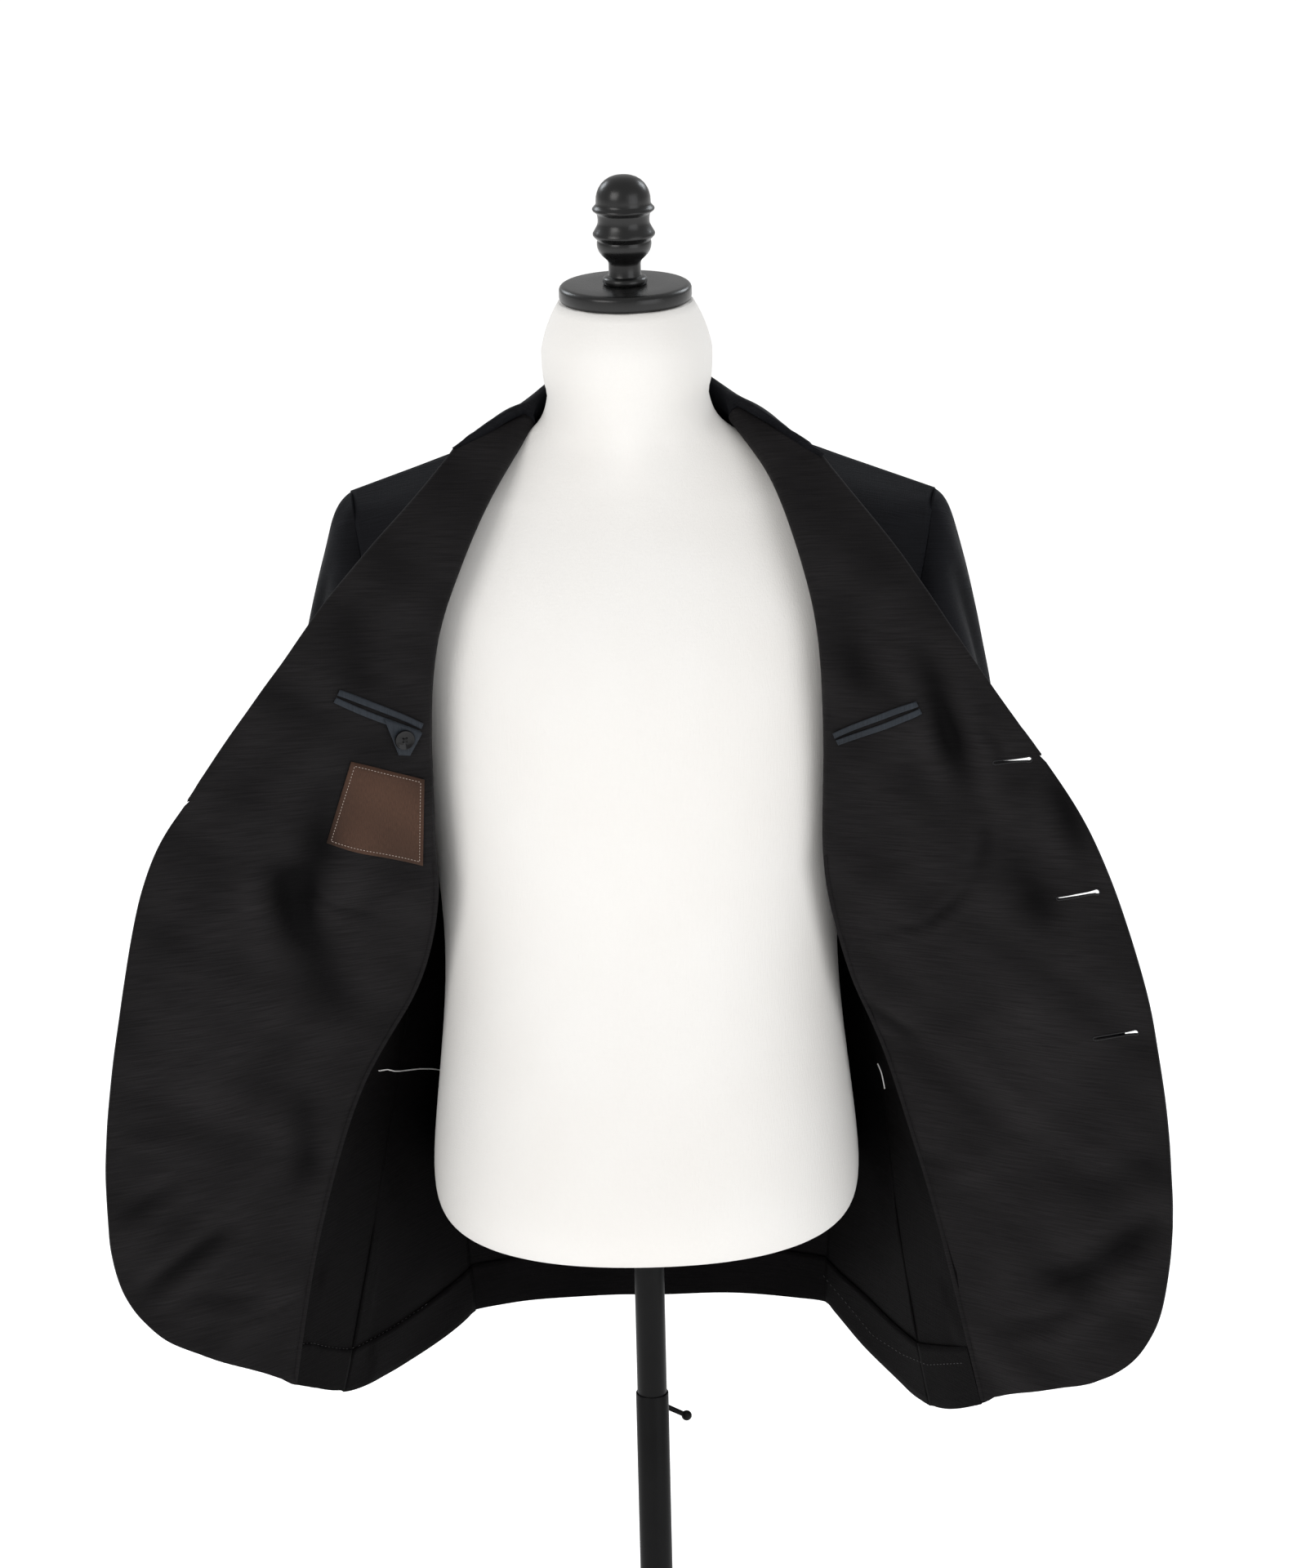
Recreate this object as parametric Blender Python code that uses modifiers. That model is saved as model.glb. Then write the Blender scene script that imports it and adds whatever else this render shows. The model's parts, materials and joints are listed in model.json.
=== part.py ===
# A silk blazer on a limbless dress form, its two fronts held open like wings so that the inside shows.
# X runs to the right as seen from the front, +Y to the back, +Z up; the origin is under the base's middle.
from math import cos, pi, radians, sin, tan

import bmesh
import bpy
import numpy as np
from mathutils import Matrix, Vector
from mathutils.bvhtree import BVHTree

MM = 0.001

# Cloth: every panel hangs on one thin surface, the line between outer cloth and facing.
OUTER = 1.4 * MM  # outer cloth with its canvas, outside that surface
GAP = 0.3 * MM  # between two pieces that touch
FACING = 1.0 * MM  # facing, inside that surface
HEM = 0.8 * MM  # the turned-up hem, inside that surface
SEAM = 0.2 * MM  # how far each panel stops short of a seam line
LAPEL_OFF = 4.0 * MM  # from the front's surface to the lapel folded behind it
LAPEL_WIDE = 82 * MM  # along the cloth, from the roll line to the lapel's tip
LAPEL_COLS = 7
LAPEL_END = 9 * MM  # its width where it ends at the break
LAPEL_END_OFF = 3.3 * MM
LAPEL_STOP = 6 * MM  # short of the fold
LEAF_WIDE = 40 * MM  # the part of that line that is sewn to the collar

# Columns of a front, from the side seam to the front edge, and rows from the shoulder to the hem.
CHEST_COLS = 3  # side seam to the fold
TURN_COLS = 4  # round the fold
WING_COLS = 7  # fold to front edge
FACING_COL = 4  # the facing's inner edge
BREAK_ROW = 6  # table row at which the lapel ends and the side seam begins
ROW_STEPS = (2, 1, 1, 1, 1, 1, 1, 2, 1, 2, 2, 2, 2)  # rows made between two table rows
OPEN_TURN = 15 * MM  # half the strip that TURN_COLS covers where the panel has no fold
HEM_ROWS = 1  # rows that the hem is turned up over
HEM_LINE_FRONT = 0.65  # where that row lies between the last two table rows
HEM_LINE_BACK = 0.74

# One row for each level of an opened front, in millimetres, x counted outwards from the middle.
# seam: armhole edge, then side seam. edge: roll line, then front edge.
# fold: where the panel turns back on itself, then 10 mm past the facing's edge.
# turn: fold radius. tight: 1 a full fold, 0 none. hug, bow: bulge of the two strips.
FRONT_COLUMNS = ("seam", "fold", "edge", "turn", "tight", "hug", "bow")
FRONT_RIGHT_WORN = (  # on the wearer's right, at the left of a front view
    ((209, 10, 1246), (71, -3, 1298), (126, -39, 1288), 6.5, 1.0, 1, 0),
    ((205, -12, 1230), (97, -50, 1265), (150, -57, 1263), 6.5, 1.0, 6, 0),
    ((200, -24, 1202), (113, -71, 1238), (187, -79, 1227), 6.5, 1.0, 7, 1),
    ((193, -34, 1168), (131, -86, 1196), (225, -99, 1187), 6.5, 1.0, 5, 2),
    ((186, -42, 1130), (145, -92, 1158), (254, -111, 1146), 7, 1.0, 4, 3),
    ((181, -42, 1090), (151, -92, 1106), (290, -124, 1102), 9, 1.0, 3, 4),
    ((179, -28, 1050), (152, -89, 1050), (327, -132, 1051), 10, 0.9, 3, 5),
    ((180, -4, 1000), (152, -84, 996), (349, -138, 1022), 11, 0.8, 3, 6),
    ((179, 12, 935), (151, -74, 944), (370, -145, 966), 12, 0.5, 2, 7),
    ((180, 14, 870), (165, -44, 880), (383, -149, 900), 12, 0.1, 0, 8),
    ((189, 10, 795), (214, -56, 812), (394, -153, 838), 12, 0.0, 0, 6),
    ((205, 0, 720), (242, -69, 738), (401, -155, 778), 12, 0.0, 0, 4),
    ((222, -12, 640), (264, -80, 655), (402, -155, 738), 12, 0.0, 0, 2),
    ((244, -26, 532), (280, -84, 563), (401, -155, 706), 12, 0.0, 0, 0),
)
HEM_RIGHT_WORN = ((323, -116, 596), (357, -138, 620), (382, -148, 642), (396, -154, 672))
FRONT_LEFT_WORN = (  # on the wearer's left, at the right of a front view
    ((228, 10, 1238), (75, -3, 1300), (139, -47, 1278), 6.5, 1.0, 1, 0),
    ((223, -12, 1224), (103, -47, 1268), (165, -67, 1249), 6.5, 1.0, 6, 0),
    ((218, -24, 1198), (115, -70, 1239), (195, -87, 1214), 6.5, 1.0, 7, 1),
    ((210, -34, 1164), (128, -87, 1196), (222, -103, 1173), 6.5, 1.0, 6, 2),
    ((202, -42, 1128), (136, -92, 1156), (246, -114, 1137), 7, 1.0, 6, 3),
    ((196, -42, 1088), (138, -92, 1110), (270, -124, 1102), 9, 1.0, 6, 4),
    ((192, -28, 1050), (139, -90, 1062), (295, -130, 1069), 10, 0.9, 6, 5),
    ((188, -4, 1000), (137, -84, 1000), (324, -136, 1025), 11, 0.8, 5, 6),
    ((178, 10, 935), (141, -77, 948), (352, -145, 958), 12, 0.6, 3, 7),
    ((168, 8, 875), (156, -64, 886), (370, -150, 898), 12, 0.4, 1, 8),
    ((173, 5, 820), (184, -44, 822), (381, -152, 838), 12, 0.1, 0, 6),
    ((186, 2, 755), (206, -51, 752), (389, -154, 776), 12, 0.0, 0, 4),
    ((196, -3, 665), (231, -63, 668), (392, -153, 722), 12, 0.0, 0, 2),
    ((222, 0, 498), (262, -66, 526), (392, -152, 700), 12, 0.0, 0, 0),
)
HEM_LEFT_WORN = ((321, -115, 558), (352, -135, 576), (378, -146, 606), (389, -151, 652))
# The largest soft folds of the opened fronts: ends (x, z), half width, depth into the cloth, millimetres.
FOLD_COLUMNS = ("top", "bottom", "half_width", "depth")
FOLDS = (
    ((-268, 1010), (-222, 890), 26, 7),
    ((-330, 690), (-390, 655), 24, 5),
    ((-300, 960), (-345, 780), 34, -4),
    ((232, 1078), (244, 990), 22, 6),
    ((318, 1030), (330, 980), 20, 6),
    ((285, 985), (312, 930), 24, 5),
    ((330, 650), (388, 700), 24, 5),
)

# The back, one row for each level: height at the middle and at the side, ease over the form, side angle.
# The angle is measured round the form from its front, so 180 is the middle of the back.
BACK_COLUMNS = ("mid_z", "side_z", "mid_ease", "side_ease", "angle")
BACK_LOW = (
    (1094, 1086, 5, 9, 112),
    (1030, 1022, 8, 9, 113),
    (960, 952, 12, 10, 116),
    (895, 888, 14, 11, 119),
    (830, 824, 13, 13, 122),
    (765, 759, 13, 16, 126),
    (690, 686, 16, 20, 130),
    (534, 539, 22, 25, 134),
)
# Above the underarm: middle, blade and armhole edge (the last is counted from the shoulder point).
BACK_HIGH = (
    ((0, 62, 1314), (70, 6, 1301), (0, 0, 0)),
    ((0, 82, 1284), (92, 58, 1268), (-5, 28, -22)),
    ((0, 104, 1225), (100, 90, 1213), (-14, 48, -60)),
    ((0, 113, 1160), (104, 96, 1150), (-24, 58, -104)),
)
BACK_HIGH_STEPS = 2
NECK_ROUND = np.array([14, 16, 2]) * MM  # how the back's neckline bows
BACK_COLS = 6
VENT_TOP = 760 * MM
VENT_LAP = 16 * MM
VENT_LIFT = 3.4 * MM
VENT_STEP = 40 * MM  # the lap starts this far below the top
SIDE_COLS = 4
SIDE_BULGE = 3 * MM

# The form: half width, depth to the front and to the back, squareness of the section, millimetres.
FORM_COLUMNS = ("height", "half", "front", "back", "square")
FORM = (
    (655.0, 118, 80, 76, 2.2),
    (658.5, 140, 100, 94, 2.2),
    (668.0, 157, 115, 108, 2.2),
    (686.0, 167, 123, 116, 2.3),
    (720.0, 168, 124, 118, 2.3),
    (780.0, 161, 118, 112, 2.3),
    (850.0, 153, 110, 102, 2.3),
    (910.0, 151, 106, 96, 2.3),
    (980.0, 158, 108, 100, 2.3),
    (1040.0, 166, 112, 105, 2.3),
    (1100.0, 174, 111, 107, 2.2),
    (1140.0, 181, 105, 105, 2.1),
    (1180.0, 186, 93, 99, 2.0),
    (1212.0, 189, 79, 90, 1.75),
    (1236.0, 186, 66, 80, 1.5),
    (1252.0, 176, 58, 71, 1.4),
    (1263.0, 149, 55, 64, 1.3),
    (1276.0, 111, 51, 59, 1.25),
    (1289.0, 76, 46, 56, 1.25),
    (1300.0, 62, 53, 53, 1.8),
    (1313.0, 61, 56, 55, 2.0),
    (1340.0, 60, 57, 56, 2.0),
    (1365.0, 55, 55, 54, 2.0),
    (1388.0, 48, 48, 48, 2.0),
)
FORM_SIDES = 28
CAP_TILT = radians(3)  # the neck's end leans to the front

# The stand under it.
POLE_R = 11.8 * MM
POLE_TOP = 0.775
POLE_BOTTOM = 0.130
TUBE_IN = 12.2 * MM
TUBE_OUT = 13.0 * MM
TUBE_TOP = 0.510
BASE_R = 0.170
BASE_PLATE = 8 * MM
BASE_SOCKET = 38 * MM
CLAMP_Z = 0.4935
CLAMP_ARM_TURN = radians(-27)
CLAMP_ARM = 29 * MM
CLAMP_BALL_R = 4.2 * MM
ROUND = 24  # sides of the pole and the tube

# Sleeves: level, middle (outwards, back), half width and half depth, millimetres.
SLEEVE_COLUMNS = ("height", "out", "back", "half_width", "half_depth")
SLEEVE = (
    (1000, 231, 20, 41, 67),
    (930, 243, 24, 41, 64),
    (860, 256, 28, 40, 61),
    (740, 281, 35, 38, 57),
    (620, 305, 41, 36, 55),
)
SLEEVE_CAP_STEPS = 4
SLEEVE_CAP_OUT = 6 * MM
SLEEVE_CAP_FROM = 4 * MM  # how far the cap stands out before it turns down
SLEEVE_CAP_DROP = 6 * MM
SLEEVE_CAP_BEND = 0.22
SLEEVE_CAP_FALL = 0.6
SLEEVE_STEPS = 1
SLEEVE_SHIFT_LEFT_WORN = 8 * MM

# Collar stations from the middle of the back to where the roll line meets the lapel: fold line, leaf's edge.
COLLAR_COLUMNS = ("fraction", "fold", "leaf_middle", "leaf_edge")
COLLAR_RIGHT_WORN = (
    (0.00, (0, 68, 1345), (0, 78, 1326), (0, 84, 1305)),
    (0.22, (37, 57, 1337), (43, 69, 1320), (47, 76, 1302)),
    (0.42, (61, 31, 1320), (71, 39, 1309), (81, 45, 1294)),
    (0.58, (71, 1, 1315), (86, 4, 1307), (103, 7, 1295)),
    (0.72, (84, -16, 1312), (96, -5, 1303), (110, 4, 1291)),
    (0.87, (106, -28, 1302), (106, -13, 1298), (106, 0, 1291)),
)
COLLAR_LEFT_WORN = (
    (0.00, (0, 68, 1345), (0, 78, 1326), (0, 84, 1305)),
    (0.22, (39, 57, 1337), (45, 69, 1320), (49, 76, 1302)),
    (0.42, (64, 31, 1320), (74, 39, 1309), (84, 45, 1294)),
    (0.58, (76, 1, 1316), (91, 4, 1308), (108, 7, 1295)),
    (0.72, (90, -17, 1311), (102, -6, 1302), (116, 3, 1289)),
    (0.87, (115, -32, 1297), (115, -17, 1294), (114, -3, 1288)),
)
COLLAR_HALF = 0.9 * MM
COLLAR_TURN = 2.8 * MM  # radius of its fold
COLLAR_LIFT = 1.6 * MM  # the collar's stand starts this far above the neck seam

# What is sewn on: its place as seen along Y, millimetres. Corners run from the upper left clockwise.
SEWN_LIFT = 0.9 * MM
PATCH_COLUMNS = ("name", "panel", "from_front", "corners", "cells", "lift", "thick", "finish")
PATCHES = (
    ("button_tab", "facing_right_worn", True, ((-184, 1102), (-157, 1089), (-167, 1072), (-175, 1073)), (3, 2),
        2.0, 0.8, "slate"),
    ("label", "facing_right_worn", True, ((-209, 1071), (-157, 1051), (-161, 983), (-230, 1008)), (4, 3),
        0.5, 0.7, "label"),
    ("hip_flap_right_worn", "front_right_worn", False, ((-358, 862), (-232, 843), (-236, 793), (-360, 812)), (7, 2),
        1.2, 1.4, "silk"),
    ("hip_flap_left_worn", "front_left_worn", False, ((240, 843), (356, 862), (358, 812), (243, 793)), (12, 4),
        0.9, 1.4, "silk"),
)
JET_COLUMNS = ("name", "panel", "start", "end")
JETS = (
    ("inner_jet_right_worn", "facing_right_worn", (-217, 1122), (-158, 1091)),
    ("inner_jet_left_worn", "facing_left_worn", (147, 1076), (207, 1104)),
)
JET_WIDE = 5.5 * MM
WELT_ROWS = (5.25, 5.95)  # breast welt, in rows and columns of the wearer's left front
WELT_COLUMNS = (1, 8)
BUTTON_COLUMNS = ("name", "panel", "from_front", "place", "radius", "lift")
BUTTONS = (
    ("front_button_1", "front_right_worn", False, (-306, 1040), 10, 0.5),
    ("front_button_2", "front_right_worn", False, (-352, 962), 10, 0.5),
    ("front_button_3", "front_right_worn", False, (-371, 868), 10, 0.5),
    ("inner_button", "button_tab", True, (-170, 1085), 7.5, 0.4),
)
BUTTON_THICK = 3.0 * MM
CUFF_BUTTONS = 4
CUFF_BUTTON_R = 7.5 * MM
CUFF_FIRST = 34 * MM  # from the cuff's edge
CUFF_STEP = 16 * MM
CUFF_FROM_SEAM = 12 * MM

COLOURS = {  # colour, roughness, metallic
    "silk": ((0.022, 0.021, 0.023), 0.62, 0.0),
    "slate": ((0.070, 0.095, 0.125), 0.45, 0.0),
    "label": ((0.085, 0.050, 0.032), 0.70, 0.0),
    "horn": ((0.012, 0.012, 0.013), 0.22, 0.0),
    "jersey": ((0.86, 0.82, 0.80), 0.85, 0.0),
    "black_wood": ((0.014, 0.014, 0.014), 0.38, 0.0),
    "black_steel": ((0.020, 0.020, 0.021), 0.42, 0.6),
}


def clear_scene():
    for thing in list(bpy.data.objects):
        bpy.data.objects.remove(thing, do_unlink=True)


def new_collection(name):
    found = bpy.data.collections.new(name)
    bpy.context.scene.collection.children.link(found)
    return found


def finish_of(name):
    found = bpy.data.materials.get(name)
    if found:
        return found
    colour, roughness, metallic = COLOURS[name]
    found = bpy.data.materials.new(name)
    found.use_nodes = True
    shader = found.node_tree.nodes["Principled BSDF"]
    shader.inputs["Base Color"].default_value = (*colour, 1)
    shader.inputs["Roughness"].default_value = roughness
    shader.inputs["Metallic"].default_value = metallic
    return found


def add_object(name, mesh, finish, smooth=True):
    made = bpy.data.objects.new(name, mesh)
    mesh.materials.append(finish_of(finish))
    BLAZER.objects.link(made)
    if smooth:
        mesh.shade_smooth()
        mesh.set_sharp_from_angle(angle=radians(40))
    return made


def read(row, columns):
    return dict(zip(columns, row))


def unit(v):
    return v / max(np.linalg.norm(v), 1e-12)


def smooth_at(points, t):
    """Points of a Catmull-Rom curve through points, at the parameters t (0 to the last index)."""
    points = np.asarray(points, float)
    ends = np.concatenate([[2 * points[0] - points[1]], points, [2 * points[-1] - points[-2]]])
    out = []
    for value in t:
        i = int(min(max(np.floor(value), 0), len(points) - 2))
        f = value - i
        a, b, c, d = ends[i : i + 4]
        out.append(
            0.5 * (2 * b + (c - a) * f + (2 * a - 5 * b + 4 * c - d) * f**2 + (3 * b - a - 3 * c + d) * f**3)
        )
    return np.array(out)


def spaced(points, count, smooth=True):
    """count + 1 points at equal steps along the curve through points."""
    if smooth:
        points = smooth_at(points, np.linspace(0, len(points) - 1, 12 * (len(points) - 1) + 1))
    points = np.asarray(points, float)
    run = np.concatenate([[0], np.cumsum(np.linalg.norm(np.diff(points, axis=0), axis=1))])
    at = np.linspace(0, run[-1], count + 1)
    return np.stack([np.interp(at, run, points[:, k]) for k in range(3)], axis=1)


def refine(rows, steps, hem_line=None):
    """Rows of points, steps[i] of them for the stretch after table row i; the last but one at hem_line."""
    t = [0.0]
    for i, count in enumerate(steps):
        t += [i + (k + 1) / count for k in range(count)]
    if hem_line is not None:
        t[-2] = len(rows) - 2 + hem_line
    return smooth_at(rows, t)


# The form's section at a height, and a point round it.
def form_section(height):
    table = np.array(FORM) * MM
    z = min(max(height, 0.686), table[-1, 0])
    half, front, back = (np.interp(z, table[:, 0], table[:, k]) for k in (1, 2, 3))
    return half, front, back, np.interp(z, table[:, 0], np.array(FORM)[:, 4])


def round_form(angle, height, ease):
    half, front, back, square = form_section(height)
    depth = front if cos(angle) > 0 else back
    power = 2 / square
    x = (half + ease) * abs(sin(angle)) ** power
    y = -(depth + ease) * abs(cos(angle)) ** power * np.sign(cos(angle))
    return np.array([x, y, height])


# Section of an opened front: side seam, round the fold, out to the front edge.
def front_section(row, corner, along):
    row = read(row, FRONT_COLUMNS)
    seam, fold, edge = (np.array(row[k], float) * MM for k in ("seam", "fold", "edge"))
    radius, tight = row["turn"] * MM, row["tight"]
    to_seam, to_edge = unit(seam - fold), unit(edge - fold)
    out = to_seam + to_edge + np.array([0.2, 0, 0])
    out = unit(out - out.dot(along) * along)
    front = np.cross(along, out)
    front = front * np.sign(front.dot(to_edge - to_seam + np.array([0, -0.4, 0])))
    middle = fold + radius * out
    turn = []
    for angle in (-90, -45, 0, 45, 90):
        a = radians(angle)
        round_turn = middle - radius * cos(a) * out + radius * sin(a) * front
        side = to_seam if angle < 0 else to_edge
        flat_turn = fold + side * OPEN_TURN * abs(angle) / 90
        turn.append(tight * round_turn + (1 - tight) * flat_turn)
    hug_way = unit(np.cross(turn[0] - seam, [0, 0, 1]))
    hug_way = hug_way * -np.sign(hug_way[1])
    chest = (seam + turn[0]) / 2 + hug_way * row["hug"] * MM
    wing = [(turn[-1] + edge) / 2 + np.array([0, -row["bow"] * MM, 0])] if not corner else []
    wing += [np.array(p, float) * MM for p in corner]
    half = TURN_COLS // 2
    step = np.linalg.norm(turn[1] - turn[0])
    before = turn[0] + unit(chest - turn[0]) * step
    after = turn[-1] + unit(edge - turn[-1]) * step
    dense = smooth_at([before] + turn + [after], np.linspace(1, 5, 65))
    return np.concatenate(
        [
            spaced([seam, chest, turn[0]], CHEST_COLS),
            spaced(dense[:33], half, False)[1:],
            spaced(dense[32:], half, False)[1:],
            spaced([turn[-1]] + wing + [edge], WING_COLS)[1:],
        ]
    )


def soft_folds(points, side):
    """Presses the largest folds into the wings' points, away from the front."""
    points = points.copy()
    for row in FOLDS:
        fold = read(row, FOLD_COLUMNS)
        a, b = (np.array(fold[k], float) * MM for k in ("top", "bottom"))
        if np.sign(a[0]) != side:
            continue
        flat = points[..., [0, 2]]
        along = np.clip(((flat - a) @ (b - a)) / ((b - a) @ (b - a)), 0, 1)
        away = np.linalg.norm(flat - a - along[..., None] * (b - a), axis=-1)
        points[..., 1] += fold["depth"] * MM * np.exp(-((away / (fold["half_width"] * MM)) ** 2))
    return points


def front_grid(table, hem, side):
    folds = np.array([read(row, FRONT_COLUMNS)["fold"] for row in table], float)
    last = len(table) - 1
    rows = []
    for i, row in enumerate(table):
        along = unit(folds[min(i + 1, last)] - folds[max(i - 1, 0)])
        rows.append(front_section(row, hem if i == last else (), along))
    grid = refine(np.array(rows), ROW_STEPS, HEM_LINE_FRONT)
    grid[..., 0] *= side
    wing = grid[:, CHEST_COLS + TURN_COLS + 1 : -1]
    grid[:, CHEST_COLS + TURN_COLS + 1 : -1] = soft_folds(wing, side)
    return grid


def row_number(table_row):
    return sum(ROW_STEPS[:table_row])


def back_grid(shoulder, neck, side):
    """Rows from the shoulder to the hem, columns from the middle to the side."""
    high = []
    for i, (middle, blade, edge) in enumerate(BACK_HIGH):
        edge = shoulder + np.array(edge) * MM
        middle, blade = np.array(middle) * MM, np.array(blade) * MM
        if i == 0:
            blade = neck
        half = BACK_COLS // 2
        first = smooth_at([blade * [-1, 1, 1], middle, blade, edge], np.linspace(1, 2, 25))
        if i == 0:
            round_neck = (middle + blade) / 2 + NECK_ROUND
            first = smooth_at([middle, round_neck, blade], np.linspace(0, 2, 25))
        last = smooth_at([middle, blade, edge], np.linspace(1, 2, 25)) if i else np.array([blade, edge])
        high.append(np.concatenate([spaced(first, half, False), spaced(last, half, False)[1:]]))
    low = []
    for row in BACK_LOW:
        row = read(row, BACK_COLUMNS)
        line = []
        for k in range(BACK_COLS + 1):
            f = k / BACK_COLS
            angle = radians(180 - (180 - row["angle"]) * f)
            height = (row["mid_z"] * (1 - f) + row["side_z"] * f) * MM
            ease = (row["mid_ease"] * (1 - f) + row["side_ease"] * f) * MM
            line.append(round_form(angle, height, ease))
        low.append(line)
    rows = np.array(high + low)
    steps = (BACK_HIGH_STEPS,) * len(high) + ROW_STEPS[BREAK_ROW:]
    grid = refine(rows, steps, HEM_LINE_BACK)
    grid[..., 0] *= side
    return grid


def side_grid(back_edge, front_edge, side):
    """The side body, from the back's seam line to the front's."""
    rows = []
    for back, front in zip(back_edge, front_edge):
        middle = (back + front) / 2 + np.array([side * SIDE_BULGE, 0, 0])
        rows.append(spaced([back, middle, front], SIDE_COLS))
    rows = np.array(rows)
    for k, drop in enumerate(np.sin(np.linspace(0, pi, SIDE_COLS + 1))):
        rows[0, k, 2] -= drop * 26 * MM
        rows[1, k, 2] -= drop * 12 * MM
    return rows


# A surface is (points, quads); its walls share their directions with the panels beside it.
def quads_of(grid, first=0, flip=False):
    rows, cols = grid.shape[:2]
    quads = []
    for r in range(rows - 1):
        for c in range(cols - 1):
            a = first + r * cols + c
            quad = (a, a + cols, a + cols + 1, a + 1)
            quads.append(quad[::-1] if flip else quad)
    return quads


def outward(points, quads):
    """One direction for each point, shared by points in the same place."""
    quads = np.array(quads)
    p = points[quads]
    face = np.cross(p[:, 2] - p[:, 0], p[:, 3] - p[:, 1])
    same = np.unique(np.round(points / (0.01 * MM)).astype(np.int64), axis=0, return_inverse=True)[1].ravel()
    total = np.zeros((same.max() + 1, 3))
    for k in range(4):
        np.add.at(total, same[quads[:, k]], face)
    length = np.linalg.norm(total, axis=1, keepdims=True)
    return (total / np.maximum(length, 1e-12))[same]


def shared_ways(panels, flip):
    """Directions of every panel's points; points that lie on a seam line get the same one in both panels."""
    points, quads, start, count = [], [], {}, 0
    for name, grid in panels.items():
        start[name] = count
        quads += quads_of(grid, count, flip)
        points.append(grid.reshape(-1, 3))
        count += len(points[-1])
    ways = outward(np.concatenate(points), quads)
    found = {}
    for name, grid in panels.items():
        count = grid.shape[0] * grid.shape[1]
        found[name] = ways[start[name] : start[name] + count].reshape(grid.shape)
    return found


def pull_in(grid, sides, amount=SEAM):
    """Stops a panel short of its seams: t, b, l, r for its first and last row and column."""
    grid = grid.copy()
    for edge, line, inner in (
        ("t", np.s_[0], np.s_[1]),
        ("b", np.s_[-1], np.s_[-2]),
        ("l", np.s_[:, 0], np.s_[:, 1]),
        ("r", np.s_[:, -1], np.s_[:, -2]),
    ):
        if edge in sides:
            step = grid[inner] - grid[line]
            length = np.linalg.norm(step, axis=-1, keepdims=True)
            grid[line] = grid[line] + step / np.maximum(length, 1e-9) * np.minimum(amount, length / 2.5)
    return grid


def wall(name, patches, inside, outside, finish, flip=False):
    """A closed wall over patches (grid, ways) whose shared points are joined, from inside to outside."""
    points, ways, quads = [], [], []
    for grid, way in patches:
        quads += quads_of(grid, sum(len(p) for p in points), flip)
        points.append(grid.reshape(-1, 3))
        ways.append(way.reshape(-1, 3))
    points, ways = np.concatenate(points), np.concatenate(ways)
    key = np.round(points / (0.02 * MM)).astype(np.int64)
    first, same = np.unique(key, axis=0, return_index=True, return_inverse=True)[1:]
    points, ways = points[first], ways[first]
    same = same.ravel()
    build = bmesh.new()
    outer = [build.verts.new(p + w * outside) for p, w in zip(points, ways)]
    inner = [build.verts.new(p + w * inside) for p, w in zip(points, ways)]
    uses = {}
    for quad in quads:
        corners = list(dict.fromkeys(int(same[k]) for k in quad))
        if len(corners) < 3:
            continue
        for i in range(1, len(corners) - 1):
            three = (corners[0], corners[i], corners[i + 1])
            build.faces.new([outer[k] for k in three])
            build.faces.new([inner[k] for k in reversed(three)])
        for a, b in zip(corners, corners[1:] + corners[:1]):
            uses[(a, b)] = uses.get((a, b), 0) + 1
    for a, b in uses:
        if (b, a) in uses:
            continue
        if tuple(np.round(points[a], 5)) < tuple(np.round(points[b], 5)):
            build.faces.new([outer[b], outer[a], inner[a]])
            build.faces.new([outer[b], inner[a], inner[b]])
        else:
            build.faces.new([outer[b], outer[a], inner[b]])
            build.faces.new([outer[a], inner[a], inner[b]])
    mesh = bpy.data.meshes.new(name)
    build.to_mesh(mesh)
    build.free()
    return add_object(name, mesh, finish)


# The lapel lies on the outer side of the front, from the roll line back and round the fold.
def on_outer_side(points, ways, lengths, off):
    """Points over one row's outer side at the given lengths along it, counted back from its edge."""
    run = np.concatenate([[0], np.cumsum(np.linalg.norm(np.diff(points[::-1], axis=0), axis=1))])
    moved = (points + ways * off)[::-1]
    return np.stack([np.interp(lengths, run, moved[:, k]) for k in range(3)], axis=1)


def lapel_grid(grid, ways):
    """Rows from the gorge to the break, columns from the roll line round the crease and back over the front."""
    last = row_number(BREAK_ROW)
    roll = grid[: last + 1, -1]
    run = np.concatenate([[0], np.cumsum(np.linalg.norm(np.diff(roll, axis=0), axis=1))])
    rows = []
    for r in range(last + 1):
        part = run[r] / run[-1]
        off = LAPEL_OFF - (LAPEL_OFF - LAPEL_END_OFF) * part
        back = unit(grid[r, -2] - roll[r])
        wing = grid[r, CHEST_COLS + TURN_COLS :]
        room = np.sum(np.linalg.norm(np.diff(wing, axis=0), axis=1)) - LAPEL_STOP
        wide = min(LAPEL_END + (LAPEL_WIDE - LAPEL_END) * (1 - part**1.6), room)
        crease = roll[r] + (ways[r, -1] - back) * off / 2
        laid = on_outer_side(grid[r], ways[r], np.linspace(0, wide, LAPEL_COLS + 1), off)
        rows.append([roll[r], crease, *laid])
    return np.array(rows), on_outer_side(grid[0], ways[0], (LEAF_WIDE / 2, LEAF_WIDE), LAPEL_OFF)


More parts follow.
